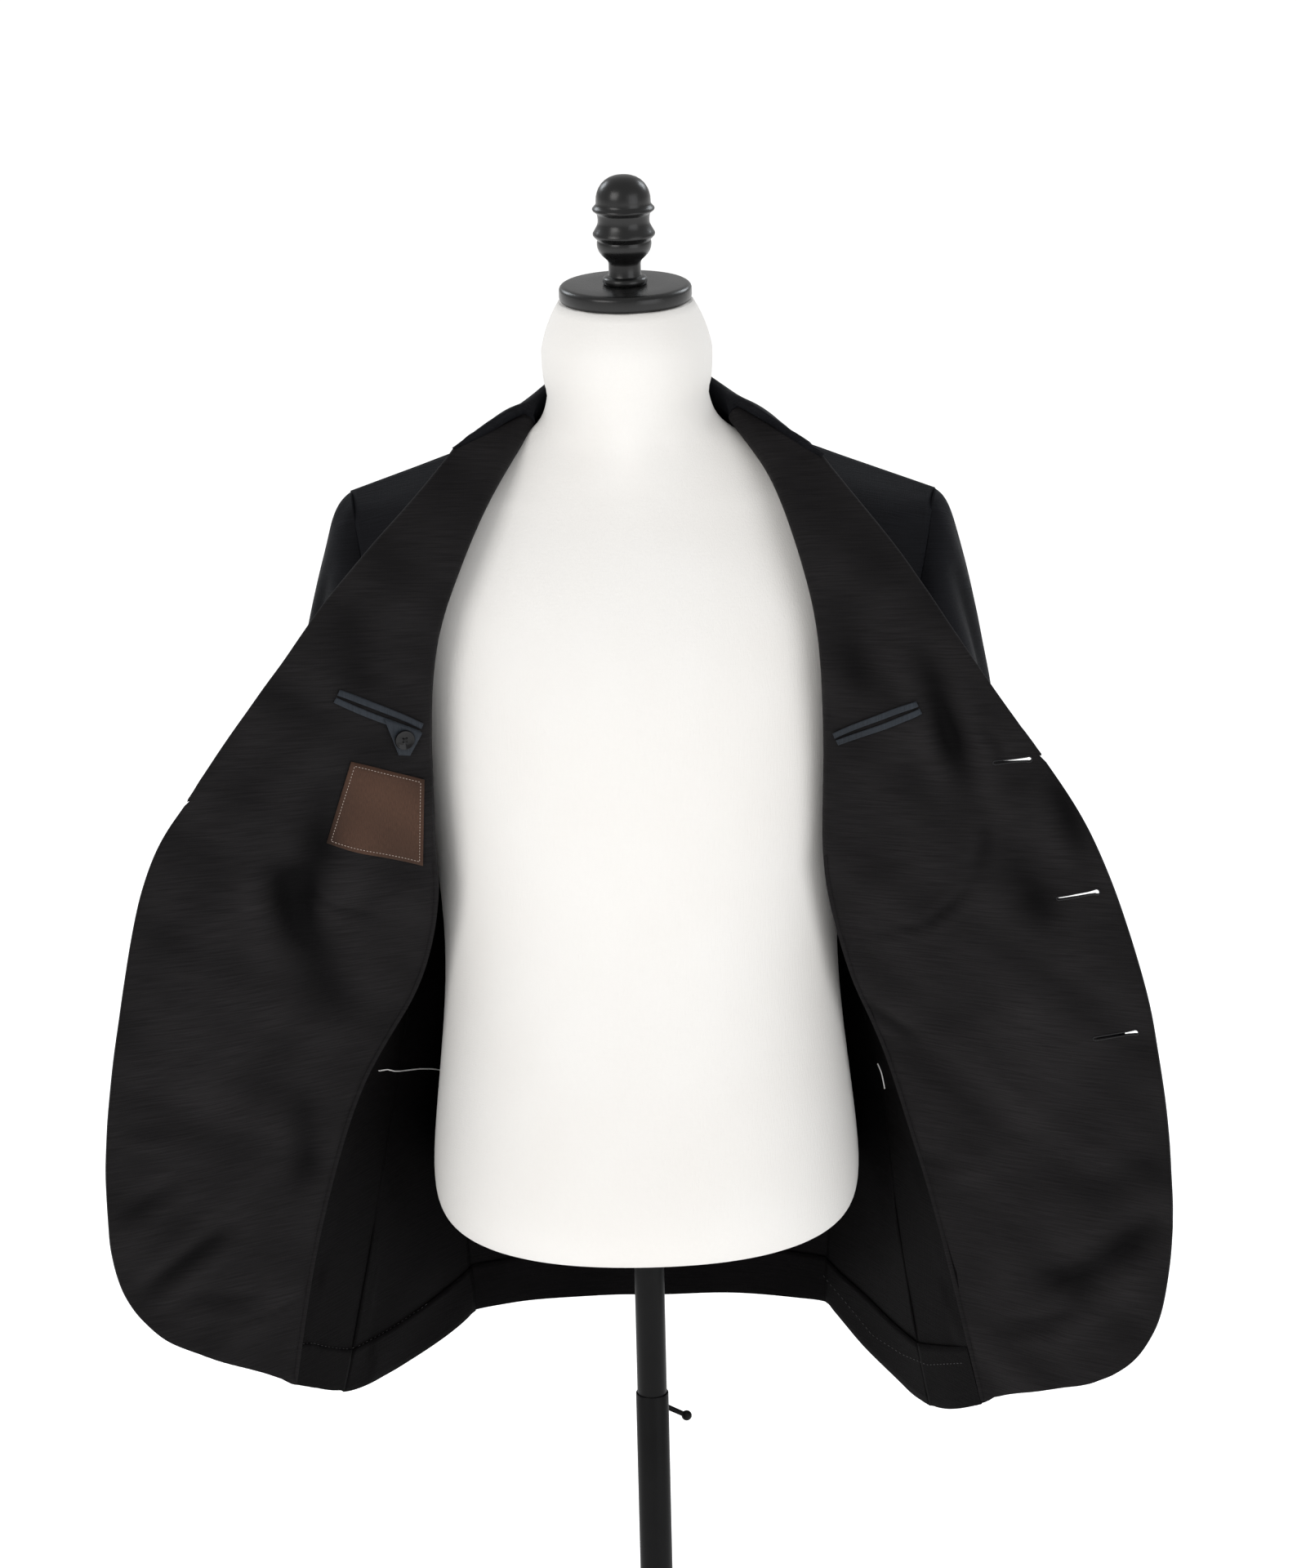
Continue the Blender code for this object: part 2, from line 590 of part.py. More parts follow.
def collar_half(neckline, table, gorge, side):
    """Columns of one half's collar points, from the back's middle to the gorge; rows from seam to edge."""
    run = np.concatenate([[0], np.cumsum(np.linalg.norm(np.diff(neckline, axis=0), axis=1))])
    run = run / run[-1]
    fractions, stations = [], []
    for row in table:
        row = read(row, COLLAR_COLUMNS)
        fold, middle, edge = (np.array(row[k], float) * MM * [side, 1, 1] for k in COLLAR_COLUMNS[1:])
        seam = np.array([np.interp(row["fraction"], run, neckline[:, k]) for k in range(3)])
        up = unit(fold - (seam + middle) / 2)
        across = middle - seam
        across = unit(across - across.dot(up) * up)
        turn = min(COLLAR_TURN, np.linalg.norm(fold - seam) / 2)
        fractions.append(row["fraction"])
        below = fold - up * turn
        stations.append([below - across * turn, fold, below + across * turn, middle, edge])
    at = np.interp(run, fractions + [1.0], np.arange(len(fractions) + 1))
    lines = smooth_at(np.array(stations + [gorge]), at)
    return np.array([[seam, (seam + line[0]) / 2, *line] for seam, line in zip(neckline, lines)]).swapaxes(0, 1)


# Sleeves grow out of the armhole loop: out over the cap, then down through oval rings.
def sleeve_grid(loop, loop_ways, side, shift):
    centre = loop.mean(axis=0)
    clear = SEAM * 2 + np.maximum(0, loop_ways[:, 0] * side) * (OUTER + GAP)
    loop = loop + clear[:, None] * np.array([side, 0, 0])
    angles = np.array([np.arctan2(p[2] - centre[2], p[1] - centre[1]) for p in loop])
    lines = []
    for point, angle in zip(loop, angles):
        height = (sin(angle) + 1) / 2
        away = side * (SLEEVE_CAP_FROM + SLEEVE_CAP_OUT * height)
        start = point + np.array([away, SLEEVE_CAP_FROM * cos(angle), -SLEEVE_CAP_DROP * height])
        line = [point, start]
        for row in SLEEVE:
            row = read(row, SLEEVE_COLUMNS)
            ring = np.array(
                [
                    side * (row["out"] * MM + shift + row["half_width"] * MM * sin(angle)),
                    row["back"] * MM + row["half_depth"] * MM * cos(angle),
                    row["height"] * MM,
                ]
            )
            line.append(ring)
        lines.append(line)
    keys = np.swapaxes(np.array(lines), 0, 1)
    cap = []
    for k in range(1, SLEEVE_CAP_STEPS):
        f = k / SLEEVE_CAP_STEPS
        a, b, c = keys[1], keys[2], keys[2] - keys[3]
        out = keys[1] - keys[0]
        out = out / np.linalg.norm(out, axis=1, keepdims=True)
        reach = np.linalg.norm(b - a, axis=1, keepdims=True)
        bend = out * reach * SLEEVE_CAP_BEND
        h1, h2 = 2 * f**3 - 3 * f**2 + 1, f**3 - 2 * f**2 + f
        h3, h4 = -2 * f**3 + 3 * f**2, f**3 - f**2
        cap.append(h1 * a + h2 * bend + h3 * b - h4 * c * SLEEVE_CAP_FALL)
    rows = [keys[0], keys[1]] + cap
    low = refine(keys[2:], (SLEEVE_STEPS,) * (len(SLEEVE) - 1))
    return np.concatenate([rows, low])


def turned(name, profile, finish, sides, place=None):
    """A profile of (radius, height) turned round Z; it runs down its outer side."""
    mesh = bpy.data.meshes.new(name)
    build = bmesh.new()
    verts = [build.verts.new((r, 0, z)) for r, z in profile]
    for a, b in zip(verts, verts[1:]):
        build.edges.new((a, b))
    build.to_mesh(mesh)
    build.free()
    made = add_object(name, mesh, finish, smooth=False)
    screw = made.modifiers.new("turn", "SCREW")
    screw.steps = screw.render_steps = sides
    screw.use_merge_vertices = True
    screw.merge_threshold = 0.00005
    screw.use_smooth_shade = True
    if place is not None:
        made.matrix_world = place
    return made


def ring_loft(name, rings, finish):
    """A closed body over rings of points from bottom to top, with flat ends."""
    build = bmesh.new()
    loops = [[build.verts.new(p) for p in ring] for ring in rings]
    for low, high in zip(loops, loops[1:]):
        for k in range(len(low)):
            n = (k + 1) % len(low)
            build.faces.new((low[k], low[n], high[n], high[k]))
    build.faces.new(list(reversed(loops[0])))
    build.faces.new(loops[-1])
    mesh = bpy.data.meshes.new(name)
    build.to_mesh(mesh)
    build.free()
    return add_object(name, mesh, finish)


def rod(name, radius, start, end, sides):
    """A round rod from start to end, as a mesh."""
    start, end = Vector(start), Vector(end)
    build = bmesh.new()
    turn = (end - start).to_track_quat("Z", "Y").to_matrix().to_4x4()
    bmesh.ops.create_cone(
        build, cap_ends=True, segments=sides, radius1=radius, radius2=radius, depth=(end - start).length,
        matrix=Matrix.Translation((start + end) / 2) @ turn,
    )
    mesh = bpy.data.meshes.new(name)
    build.to_mesh(mesh)
    build.free()
    return mesh


def combine(target, mesh, operation):
    """Cuts a mesh out of target, or joins it on."""
    helper = bpy.data.objects.new(mesh.name, mesh)
    CUTTERS.objects.link(helper)
    helper.hide_render = True
    helper.display_type = "WIRE"
    change = target.modifiers.new(operation.lower(), "BOOLEAN")
    change.operation = operation
    change.object = helper


def tree_of(name):
    mesh = bpy.data.objects[name].data
    return BVHTree.FromPolygons([v.co for v in mesh.vertices], [tuple(p.vertices) for p in mesh.polygons])


def seen_from(tree, x, z, from_front):
    """The nearest point and its direction, looking along Y at (x, z)."""
    way = 1 if from_front else -1
    return tree.ray_cast(Vector((x, -0.4 * way, z)), Vector((0, way, 0)))[:2]


def laid_on(name, panel, corners, cells, lift, thick, finish, from_front):
    """A thin piece over a panel; its corners are (x, z) from the upper left clockwise, from the front."""
    tree = tree_of(panel)
    a, b, c, d = (np.array(k, float) for k in corners)
    rows = []
    for i in range(cells[1] + 1):
        v = i / cells[1]
        row = []
        for j in range(cells[0] + 1):
            u = j / cells[0]
            x, z = (a * (1 - u) + b * u) * (1 - v) + (d * (1 - u) + c * u) * v
            row.append(seen_from(tree, x, z, from_front)[0])
        rows.append(row)
    grid = np.array(rows)
    flip = not from_front
    ways = outward(grid.reshape(-1, 3), quads_of(grid, 0, flip)).reshape(grid.shape)
    return wall(name, [(grid, ways)], lift, lift + thick, finish, flip)


def build_sewn_on(halves):
    for row in JETS:
        row = read(row, JET_COLUMNS)
        a, b = np.array(row["start"]) * MM, np.array(row["end"]) * MM
        across = unit(b - a)[::-1] * [-1, 1]
        for word, low, high in (("upper", 0.4 * MM, JET_WIDE), ("lower", -JET_WIDE, -0.4 * MM)):
            corners = (a + across * high, b + across * high, b + across * low, a + across * low)
            laid_on(f"{row['name']}_{word}", row["panel"], corners, (5, 1), SEWN_LIFT, 0.7 * MM, "slate", True)
    for row in PATCHES:
        row = read(row, PATCH_COLUMNS)
        corners = np.array(row["corners"]) * MM
        laid_on(
            row["name"], row["panel"], corners, row["cells"], row["lift"] * MM, row["thick"] * MM,
            row["finish"], row["from_front"],
        )
    front, ways = halves["left_worn"]["front"], halves["left_worn"]["ways"]
    columns = slice(WELT_COLUMNS[0], WELT_COLUMNS[1] + 1)
    row, low, high = int(WELT_ROWS[0]), WELT_ROWS[0] % 1, WELT_ROWS[1] % 1
    grid, way = (
        np.array([g[row, columns] * (1 - f) + g[row + 1, columns] * f for f in (low, high)]) for g in (front, ways)
    )
    wall("breast_welt", [(grid, way)], OUTER + 0.9 * MM, OUTER + 2.1 * MM, "silk", halves["left_worn"]["flip"])
    for row in BUTTONS:
        row = read(row, BUTTON_COLUMNS)
        x, z = np.array(row["place"]) * MM
        place, way = seen_from(tree_of(row["panel"]), x, z, row["from_front"])
        button(row["name"], place, way, row["radius"] * MM, row["lift"] * MM)
    for word, half in halves.items():
        tree = tree_of(f"top_sleeve_{word}")
        seam, beside = half["hind_seam"]
        along = unit(seam[-2] - seam[-1])
        across = unit(beside[-1] - seam[-1])
        for k in range(CUFF_BUTTONS):
            spot = seam[-1] + along * (CUFF_FIRST + k * CUFF_STEP) + across * CUFF_FROM_SEAM
            out = unit(spot - half["cuff_middle"] - along * (spot - half["cuff_middle"]).dot(along))
            place, way = tree.ray_cast(Vector(spot + out * 20 * MM), Vector(-out))[:2]
            button(f"cuff_button_{k + 1}_{word}", place, way, CUFF_BUTTON_R, 0.5 * MM)


def button(name, place, way, radius, lift):
    """A round button, flat side down, standing off the cloth by its thread."""
    profile = (
        (0, BUTTON_THICK), (radius * 0.8, BUTTON_THICK), (radius, BUTTON_THICK * 0.55), (radius * 0.9, 0),
        (0, 0),
    )
    turn = way.to_track_quat("Z", "Y").to_matrix().to_4x4()
    turned(name, profile, "horn", 12, Matrix.Translation(place + way * lift) @ turn)


def build_form():
    rings = []
    for height, half, front, back, square in FORM:
        ring = []
        for k in range(FORM_SIDES):
            a = 2 * pi * k / FORM_SIDES
            power = 2 / square
            x = half * abs(cos(a)) ** power * np.sign(cos(a))
            y = (back if sin(a) > 0 else front) * abs(sin(a)) ** power * np.sign(sin(a))
            lean = y * tan(CAP_TILT) * max(0.0, (height - 1300) / 88)
            ring.append((x * MM, y * MM, (height + lean) * MM))
        rings.append(ring)
    torso = ring_loft("torso", rings, "jersey")
    bore = rod("cutter", POLE_R + 0.5 * MM, (0, 0, 0.60), (0, 0, POLE_TOP + GAP), ROUND)
    combine(torso, bore, "DIFFERENCE")
    tilt = Matrix.Translation((0, 0, 1.388)) @ Matrix.Rotation(CAP_TILT, 4, "X")
    cap = ((0, 12.5), (44, 12.5), (47.5, 11.6), (49, 9.5), (49, 3.0), (48.4, 1.2), (47, 0.3), (0, 0.3))
    turned("neck_cap", [(r * MM, z * MM) for r, z in cap], "black_wood", 32, tilt)
    finial = (
        (0, 93), (7, 92.2), (13, 89.5), (18, 84.5), (20.5, 78), (21.2, 72.5), (22.6, 70.0), (22.6, 67.6),
        (19.8, 64.2), (19.8, 60.8), (22.5, 57.2), (22.0, 53.0), (20.6, 46), (18.2, 39), (13.0, 33.0),
        (11.9, 24), (13.6, 20.4), (17.4, 17.6), (17.2, 12.8), (0, 12.8),
    )
    turned("finial", [(r * MM, z * MM) for r, z in finial], "black_wood", 20, tilt)


def build_stand():
    pole = ((0, POLE_TOP), (POLE_R, POLE_TOP), (POLE_R, POLE_BOTTOM), (0, POLE_BOTTOM))
    turned("pole", pole, "black_steel", ROUND)
    low = BASE_PLATE + GAP
    tube = (
        (TUBE_IN, TUBE_TOP), (TUBE_OUT - 0.2 * MM, TUBE_TOP), (TUBE_OUT, TUBE_TOP - 0.4 * MM), (TUBE_OUT, low),
        (TUBE_IN, low), (TUBE_IN, TUBE_TOP),
    )
    made = turned("lower_tube", tube, "black_steel", ROUND)
    bore = rod("cutter", 3.4 * MM, (0, 5 * MM, CLAMP_Z), (0, 30 * MM, CLAMP_Z), 12)
    combine(made, bore, "DIFFERENCE")
    r, top = TUBE_OUT + GAP, BASE_SOCKET
    base = (
        (0, BASE_PLATE), (r, BASE_PLATE), (r, top), (r + 5 * MM, top), (r + 7 * MM, top - 3 * MM),
        (r + 9 * MM, BASE_PLATE + 2 * MM), (BASE_R - 8 * MM, BASE_PLATE),
        (BASE_R - 1 * MM, BASE_PLATE - 2.5 * MM), (BASE_R, BASE_PLATE - 4.5 * MM), (BASE_R, 0.8 * MM),
        (BASE_R - 0.8 * MM, 0), (0, 0),
    )
    turned("base", base, "black_steel", 40)
    build_clamp()


def build_clamp():
    """One-armed clamp screw: shank along +Y through the tube's wall, hub behind it, arm down to the right."""
    shank_start, hub_start, hub_end = POLE_R + 0.6 * MM, TUBE_OUT + 1.5 * MM, TUBE_OUT + 10.5 * MM
    shank_end = hub_start + 2 * MM
    arm = Vector((cos(CLAMP_ARM_TURN), 0, sin(CLAMP_ARM_TURN)))
    centre = Vector((0, (hub_start + hub_end) / 2, CLAMP_Z))
    hub_mesh = rod("clamp_screw", 5.0 * MM, (0, hub_start, CLAMP_Z), (0, hub_end, CLAMP_Z), 16)
    hub = add_object("clamp_screw", hub_mesh, "black_steel")
    combine(hub, rod("shank", 3.0 * MM, (0, shank_start, CLAMP_Z), (0, shank_end, CLAMP_Z), 12), "UNION")
    combine(hub, rod("arm", 2.4 * MM, centre, centre + arm * CLAMP_ARM, 10), "UNION")
    build = bmesh.new()
    place = Matrix.Translation(centre + arm * (CLAMP_ARM + 1.5 * MM))
    bmesh.ops.create_uvsphere(build, u_segments=12, v_segments=8, radius=CLAMP_BALL_R, matrix=place)
    ball = bpy.data.meshes.new("ball")
    build.to_mesh(ball)
    build.free()
    combine(hub, ball, "UNION")


def main():
    halves = {}
    for word, side, table, hem, collar_table, shift in (
        ("right_worn", -1, FRONT_RIGHT_WORN, HEM_RIGHT_WORN, COLLAR_RIGHT_WORN, 0.0),
        ("left_worn", 1, FRONT_LEFT_WORN, HEM_LEFT_WORN, COLLAR_LEFT_WORN, SLEEVE_SHIFT_LEFT_WORN),
    ):
        halves[word] = build_half(word, side, table, hem, collar_table, shift)
    build_collar(halves)
    build_sewn_on(halves)
    build_form()
    build_stand()


def with_vent(panel, ways, body, first_row):
    """Adds the strip of the back that laps over the side body below the vent's top."""
    lap = panel[:, -1:].copy()
    panel = np.concatenate([panel, lap], axis=1)
    ways = np.concatenate([ways, ways[:, -1:]], axis=1)
    for r in range(first_row, len(panel)):
        below = VENT_TOP - panel[r, -1, 2]
        lift, reach = (min(max(d / (20 * MM), 0), 1) for d in (below, below - VENT_STEP))
        forward = unit(body[r - first_row, 1] - body[r - first_row, 0])
        panel[r, -2:] += ways[r, -1] * VENT_LIFT * lift
        panel[r, -1] += forward * VENT_LAP * reach
    return panel, ways


def build_half(word, side, table, hem, collar_table, shift):
    flip = side > 0
    break_row = row_number(BREAK_ROW)
    low = BACK_HIGH_STEPS * len(BACK_HIGH)
    front = front_grid(table, hem, side)
    back = back_grid(front[0, 0] * [side, 1, 1], front[0, CHEST_COLS] * [side, 1, 1], side)
    body = side_grid(back[low:, -1], front[break_row:, 0], side)
    loop = np.concatenate(
        [front[break_row:0:-1, 0], back[: low + 1, -1], body[0, 1:-1]]
    )
    ways = shared_ways({"front": front, "back": back, "side": body}, flip)
    ways["back"][:, 0, 0] = 0
    loop_ways = np.concatenate(
        [ways["front"][break_row:0:-1, 0], ways["back"][: low + 1, -1], ways["side"][0, 1:-1]]
    )
    sleeve = sleeve_grid(
        np.concatenate([loop, loop[:1]]), np.concatenate([loop_ways, loop_ways[:1]]), side, shift
    )
    ways["sleeve"] = outward(sleeve.reshape(-1, 3), quads_of(sleeve, 0, flip)).reshape(sleeve.shape)
    lapel, leaf = lapel_grid(front, ways["front"])
    lapel_quads = quads_of(front, 0, flip) + quads_of(lapel, front.shape[0] * front.shape[1], flip)
    both = outward(np.concatenate([front.reshape(-1, 3), lapel.reshape(-1, 3)]), lapel_quads)
    lapel_ways = both[front.shape[0] * front.shape[1] :].reshape(lapel.shape)
    front_ways = ways["front"].copy()
    front_ways[: break_row + 1, -1] = lapel_ways[:, 0]
    cloth = pull_in(front, "tl")
    cloth[: break_row + 1, -1] = lapel[:, 0]
    wall(f"front_{word}", [(cloth, front_ways), (lapel, lapel_ways)], 0, OUTER, "silk", flip)
    inner = cloth[:, FACING_COL:]
    inner_ways = front_ways[:, FACING_COL:]
    wall(f"facing_{word}", [(inner, inner_ways), (lapel, lapel_ways)], -GAP - FACING, -GAP, "silk", flip)
    hem_rows = slice(-HEM_ROWS - 1, None)
    wall(
        f"hem_front_{word}",
        [(pull_in(cloth[hem_rows, : FACING_COL + 1], "r"), front_ways[hem_rows, : FACING_COL + 1])],
        -GAP - HEM, -GAP, "silk", flip,
    )
    panel = pull_in(body, "tlr")
    wall(f"side_{word}", [(panel, ways["side"])], 0, OUTER, "silk", flip)
    wall(f"hem_side_{word}", [(panel[hem_rows], ways["side"][hem_rows])], -GAP - HEM, -GAP, "silk", flip)
    panel, back_ways = with_vent(pull_in(back, "tlr"), ways["back"], body, low)
    wall(f"back_{word}", [(panel, back_ways)], 0, OUTER, "silk", flip)
    wall(f"hem_back_{word}", [(panel[hem_rows], back_ways[hem_rows])], -GAP - HEM, -GAP, "silk", flip)
    front_seam = 1
    back_seam = break_row + low
    top = sleeve[:, front_seam : back_seam + 1]
    top_ways = ways["sleeve"][:, front_seam : back_seam + 1]
    wall(f"top_sleeve_{word}", [(pull_in(top, "tlr"), top_ways)], 0, OUTER, "silk", flip)
    under = np.concatenate([sleeve[:, back_seam:], sleeve[:, 1 : front_seam + 1]], axis=1)
    under_ways = np.concatenate([ways["sleeve"][:, back_seam:], ways["sleeve"][:, 1 : front_seam + 1]], axis=1)
    wall(f"under_sleeve_{word}", [(pull_in(under, "tlr"), under_ways)], 0, OUTER, "silk", flip)
    return {
        "front": front, "ways": ways["front"], "back": back, "lapel": lapel, "leaf": leaf, "flip": flip,
        "side": side, "table": collar_table, "hind_seam": (sleeve[:, back_seam], sleeve[:, back_seam - 1]),
        "cuff_middle": sleeve[-1, :-1].mean(axis=0),
    }


def build_collar(halves):
    sides = []
    for half in halves.values():
        top = np.concatenate(
            [half["back"][:2, : BACK_COLS // 2 + 1], half["front"][:2, CHEST_COLS + TURN_COLS // 2 :]], axis=1
        )
        run = np.gradient(top[0], axis=0)
        run = run / np.linalg.norm(run, axis=1, keepdims=True)
        up = top[0] - top[1]
        up = up - np.sum(up * run, axis=1, keepdims=True) * run
        up[: BACK_COLS // 2 + 1] = (0, 0, 1)
        up = up / np.linalg.norm(up, axis=1, keepdims=True)
        neckline = top[0] + up * COLLAR_LIFT
        lift = up[-1] * COLLAR_LIFT
        crease = half["lapel"][0, 1] + lift
        gorge = [neckline[-1] * 0.4 + crease * 0.6, crease, half["lapel"][0, 2] + lift]
        gorge += [point + lift for point in half["leaf"]]
        grid = collar_half(neckline, half["table"], gorge, half["side"])
        sides.append(grid)
    right, left = sides
    grid = np.concatenate([right[:, ::-1], left[:, 1:]], axis=1)
    ways = outward(grid.reshape(-1, 3), quads_of(grid)).reshape(grid.shape)
    grid = pull_in(grid, "lr", 2 * SEAM)
    wall("collar", [(grid, ways)], -COLLAR_HALF, COLLAR_HALF, "silk")


clear_scene()
BLAZER = new_collection("silk_blazer")
CUTTERS = new_collection("cutters")
main()
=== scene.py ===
import json
from math import ceil, cos, pi, radians, sin

import bmesh
import bpy
import numpy as np
from mathutils import Matrix, Vector
from mathutils.bvhtree import BVHTree


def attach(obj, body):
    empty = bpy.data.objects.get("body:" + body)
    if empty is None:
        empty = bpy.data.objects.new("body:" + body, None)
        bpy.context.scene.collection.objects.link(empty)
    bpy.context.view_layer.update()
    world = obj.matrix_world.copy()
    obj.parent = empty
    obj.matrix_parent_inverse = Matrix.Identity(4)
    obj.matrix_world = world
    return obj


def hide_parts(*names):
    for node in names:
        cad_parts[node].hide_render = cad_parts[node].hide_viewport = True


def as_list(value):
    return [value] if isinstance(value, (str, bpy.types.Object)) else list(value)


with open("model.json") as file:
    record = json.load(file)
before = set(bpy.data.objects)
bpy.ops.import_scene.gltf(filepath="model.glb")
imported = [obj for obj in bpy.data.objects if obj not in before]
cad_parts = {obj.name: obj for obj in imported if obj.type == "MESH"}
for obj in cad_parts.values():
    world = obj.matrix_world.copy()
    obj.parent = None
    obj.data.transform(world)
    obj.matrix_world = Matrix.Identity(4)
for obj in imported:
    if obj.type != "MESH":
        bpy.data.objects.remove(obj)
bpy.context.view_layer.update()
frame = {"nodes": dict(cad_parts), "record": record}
nodes = frame["nodes"]
mm = 0.001
print("blazer: frame loaded with", len(nodes), "nodes")


def addObject(name, data):
    made = bpy.data.objects.new(name, data)
    bpy.context.scene.collection.objects.link(made)
    return made


# Studio: the camera stands where the photograph was taken from.
studio = {
    "cameraPlace": (0.0085, -3.0, 1.91),
    "lookDown": 16.6,
    "roll": -1.355,
    "lens": 94.275,
    "sensor": 36.0,
    "farthest": 200,
    "floorReach": 60.0,
    "floorColour": (0.90, 0.895, 0.89),
    "floorGlow": 0.56,  # the pale floor is washed with light of its own
    "skyColour": (1.0, 1.0, 1.0),
    "skyStrength": 0.56,
}
# place, size, watts and colour of each soft light; they all look at the middle of the jacket
softLights = {
    "keyLeft": ((-2.6, -3.0, 3.2), 2.2, 58.0, (1.0, 0.985, 0.97)),
    "fillRight": ((2.6, -2.8, 2.0), 2.6, 31.0, (0.97, 0.98, 1.0)),
    "rimLeft": ((-2.2, 2.2, 3.0), 1.2, 26.0, (0.90, 0.95, 1.0)),
    "rimRight": ((2.2, 2.2, 3.0), 1.2, 26.0, (0.90, 0.95, 1.0)),
}
lightTarget = Vector((0, 0, 0.95))


def placeCamera():
    camera = addObject("photoCamera", bpy.data.cameras.new("photoCamera"))
    camera.data.sensor_width = studio["sensor"]
    camera.data.lens = studio["lens"]
    camera.data.clip_end = studio["farthest"]
    look = Matrix.Rotation(radians(90 - studio["lookDown"]), 4, "X")
    roll = Matrix.Rotation(radians(studio["roll"]), 4, "Z")
    camera.matrix_world = Matrix.Translation(studio["cameraPlace"]) @ look @ roll
    bpy.context.scene.camera = camera


def placeLights():
    for name, (place, size, watts, colour) in softLights.items():
        light = bpy.data.lights.new(name, "AREA")
        light.size = size
        light.energy = watts
        light.color = colour
        lamp = addObject(name, light)
        lamp.location = place
        lamp.rotation_euler = (lightTarget - Vector(place)).to_track_quat("-Z", "Y").to_euler()
    world = bpy.data.worlds.new("paleRoom")
    world.use_nodes = True
    sky = world.node_tree.nodes["Background"]
    sky.inputs["Color"].default_value = (*studio["skyColour"], 1)
    sky.inputs["Strength"].default_value = studio["skyStrength"]
    bpy.context.scene.world = world
    bpy.context.scene.view_settings.view_transform = "Standard"


placeCamera()
placeLights()
print("blazer: camera and lights placed")


# Materials. Every one is a Principled shader fed by its own small patterns.
def newMaterial(name, colour, roughness, **sockets):
    material = bpy.data.materials.new(name)
    material.use_nodes = True
    shader = material.node_tree.nodes["Principled BSDF"]
    shader.inputs["Base Color"].default_value = (*colour, 1)
    shader.inputs["Roughness"].default_value = roughness
    for socket, value in sockets.items():
        shader.inputs[socket.replace("_", " ")].default_value = value
    return material, material.node_tree, shader


def addNode(tree, kind, **values):
    node = tree.nodes.new(kind)
    for name, value in values.items():
        if name in node.inputs:
            node.inputs[name].default_value = value
        else:
            setattr(node, name, value)
    return node


def stretchedNoise(tree, source, scale, detail=3.0, rough=0.55):
    # noise whose cells are scale[0] by scale[1] by scale[2] to the metre
    mapping = addNode(tree, "ShaderNodeMapping")
    mapping.inputs["Scale"].default_value = scale
    tree.links.new(source, mapping.inputs["Vector"])
    noise = addNode(tree, "ShaderNodeTexNoise", Scale=1.0, Detail=detail, Roughness=rough)
    tree.links.new(mapping.outputs["Vector"], noise.inputs["Vector"])
    return noise.outputs["Fac"]


def colourRamp(tree, source, low, high, start=0.3, end=0.7):
    ramp = tree.nodes.new("ShaderNodeValToRGB")
    ramp.color_ramp.elements[0].position = start
    ramp.color_ramp.elements[0].color = (*low, 1)
    ramp.color_ramp.elements[1].position = end
    ramp.color_ramp.elements[1].color = (*high, 1)
    tree.links.new(source, ramp.inputs["Fac"])
    return ramp.outputs["Color"]


def objectPlace(tree):
    return addNode(tree, "ShaderNodeTexCoord").outputs["Object"]


def addBump(tree, shader, source, distance):
    bump = addNode(tree, "ShaderNodeBump", Distance=distance, Strength=1.0)
    tree.links.new(source, bump.inputs["Height"])
    if shader.inputs["Normal"].is_linked:
        tree.links.new(shader.inputs["Normal"].links[0].from_socket, bump.inputs["Normal"])
    tree.links.new(bump.outputs["Normal"], shader.inputs["Normal"])


def wovenCloth(name, look):
    # u runs across the cloth and v along it, both in metres, so the yarns keep their real size
    material, tree, shader = newMaterial(
        name, look["colour"], look["roughness"], Sheen_Weight=look["sheen"],
        Sheen_Roughness=look["sheenRoughness"], Sheen_Tint=(*look["sheenTint"], 1),
        Specular_IOR_Level=look["specular"],
    )
    uv = addNode(tree, "ShaderNodeUVMap", uv_map="weave").outputs["UV"]
    slub = stretchedNoise(tree, uv, look["slubs"], 4.0)
    warp = stretchedNoise(tree, uv, look["warp"], 2.0)
    grain = stretchedNoise(tree, uv, look["grain"], 2.0, 0.7)
    dark = tuple(c * look["darkest"] for c in look["colour"])
    light = tuple(c * look["lightest"] for c in look["colour"])
    yarns = colourRamp(tree, slub, dark, light, 0.32, 0.72)
    # painted shade: the colour is darkened in a crease, and a painted highlight lightens the swell beside it
    spread = addNode(tree, "ShaderNodeMapRange")
    spread.inputs["From Min"].default_value = -1.0
    hollow = addNode(tree, "ShaderNodeAttribute", attribute_name="hollow").outputs["Fac"]
    tree.links.new(hollow, spread.inputs["Value"])
    both = addNode(tree, "ShaderNodeMix", data_type="RGBA", blend_type="MULTIPLY")
    both.inputs["Factor"].default_value = 1.0
    tree.links.new(yarns, both.inputs["A"])
    tree.links.new(colourRamp(tree, spread.outputs["Result"], *look["paintedCreaseShade"], 0.0, 1.0), both.inputs["B"])
    tree.links.new(both.outputs["Result"], shader.inputs["Base Color"])
    for pattern, depth in ((slub, look["slubDepth"]), (warp, look["warpDepth"]), (grain, look["grainDepth"])):
        addBump(tree, shader, pattern, depth)
    return material
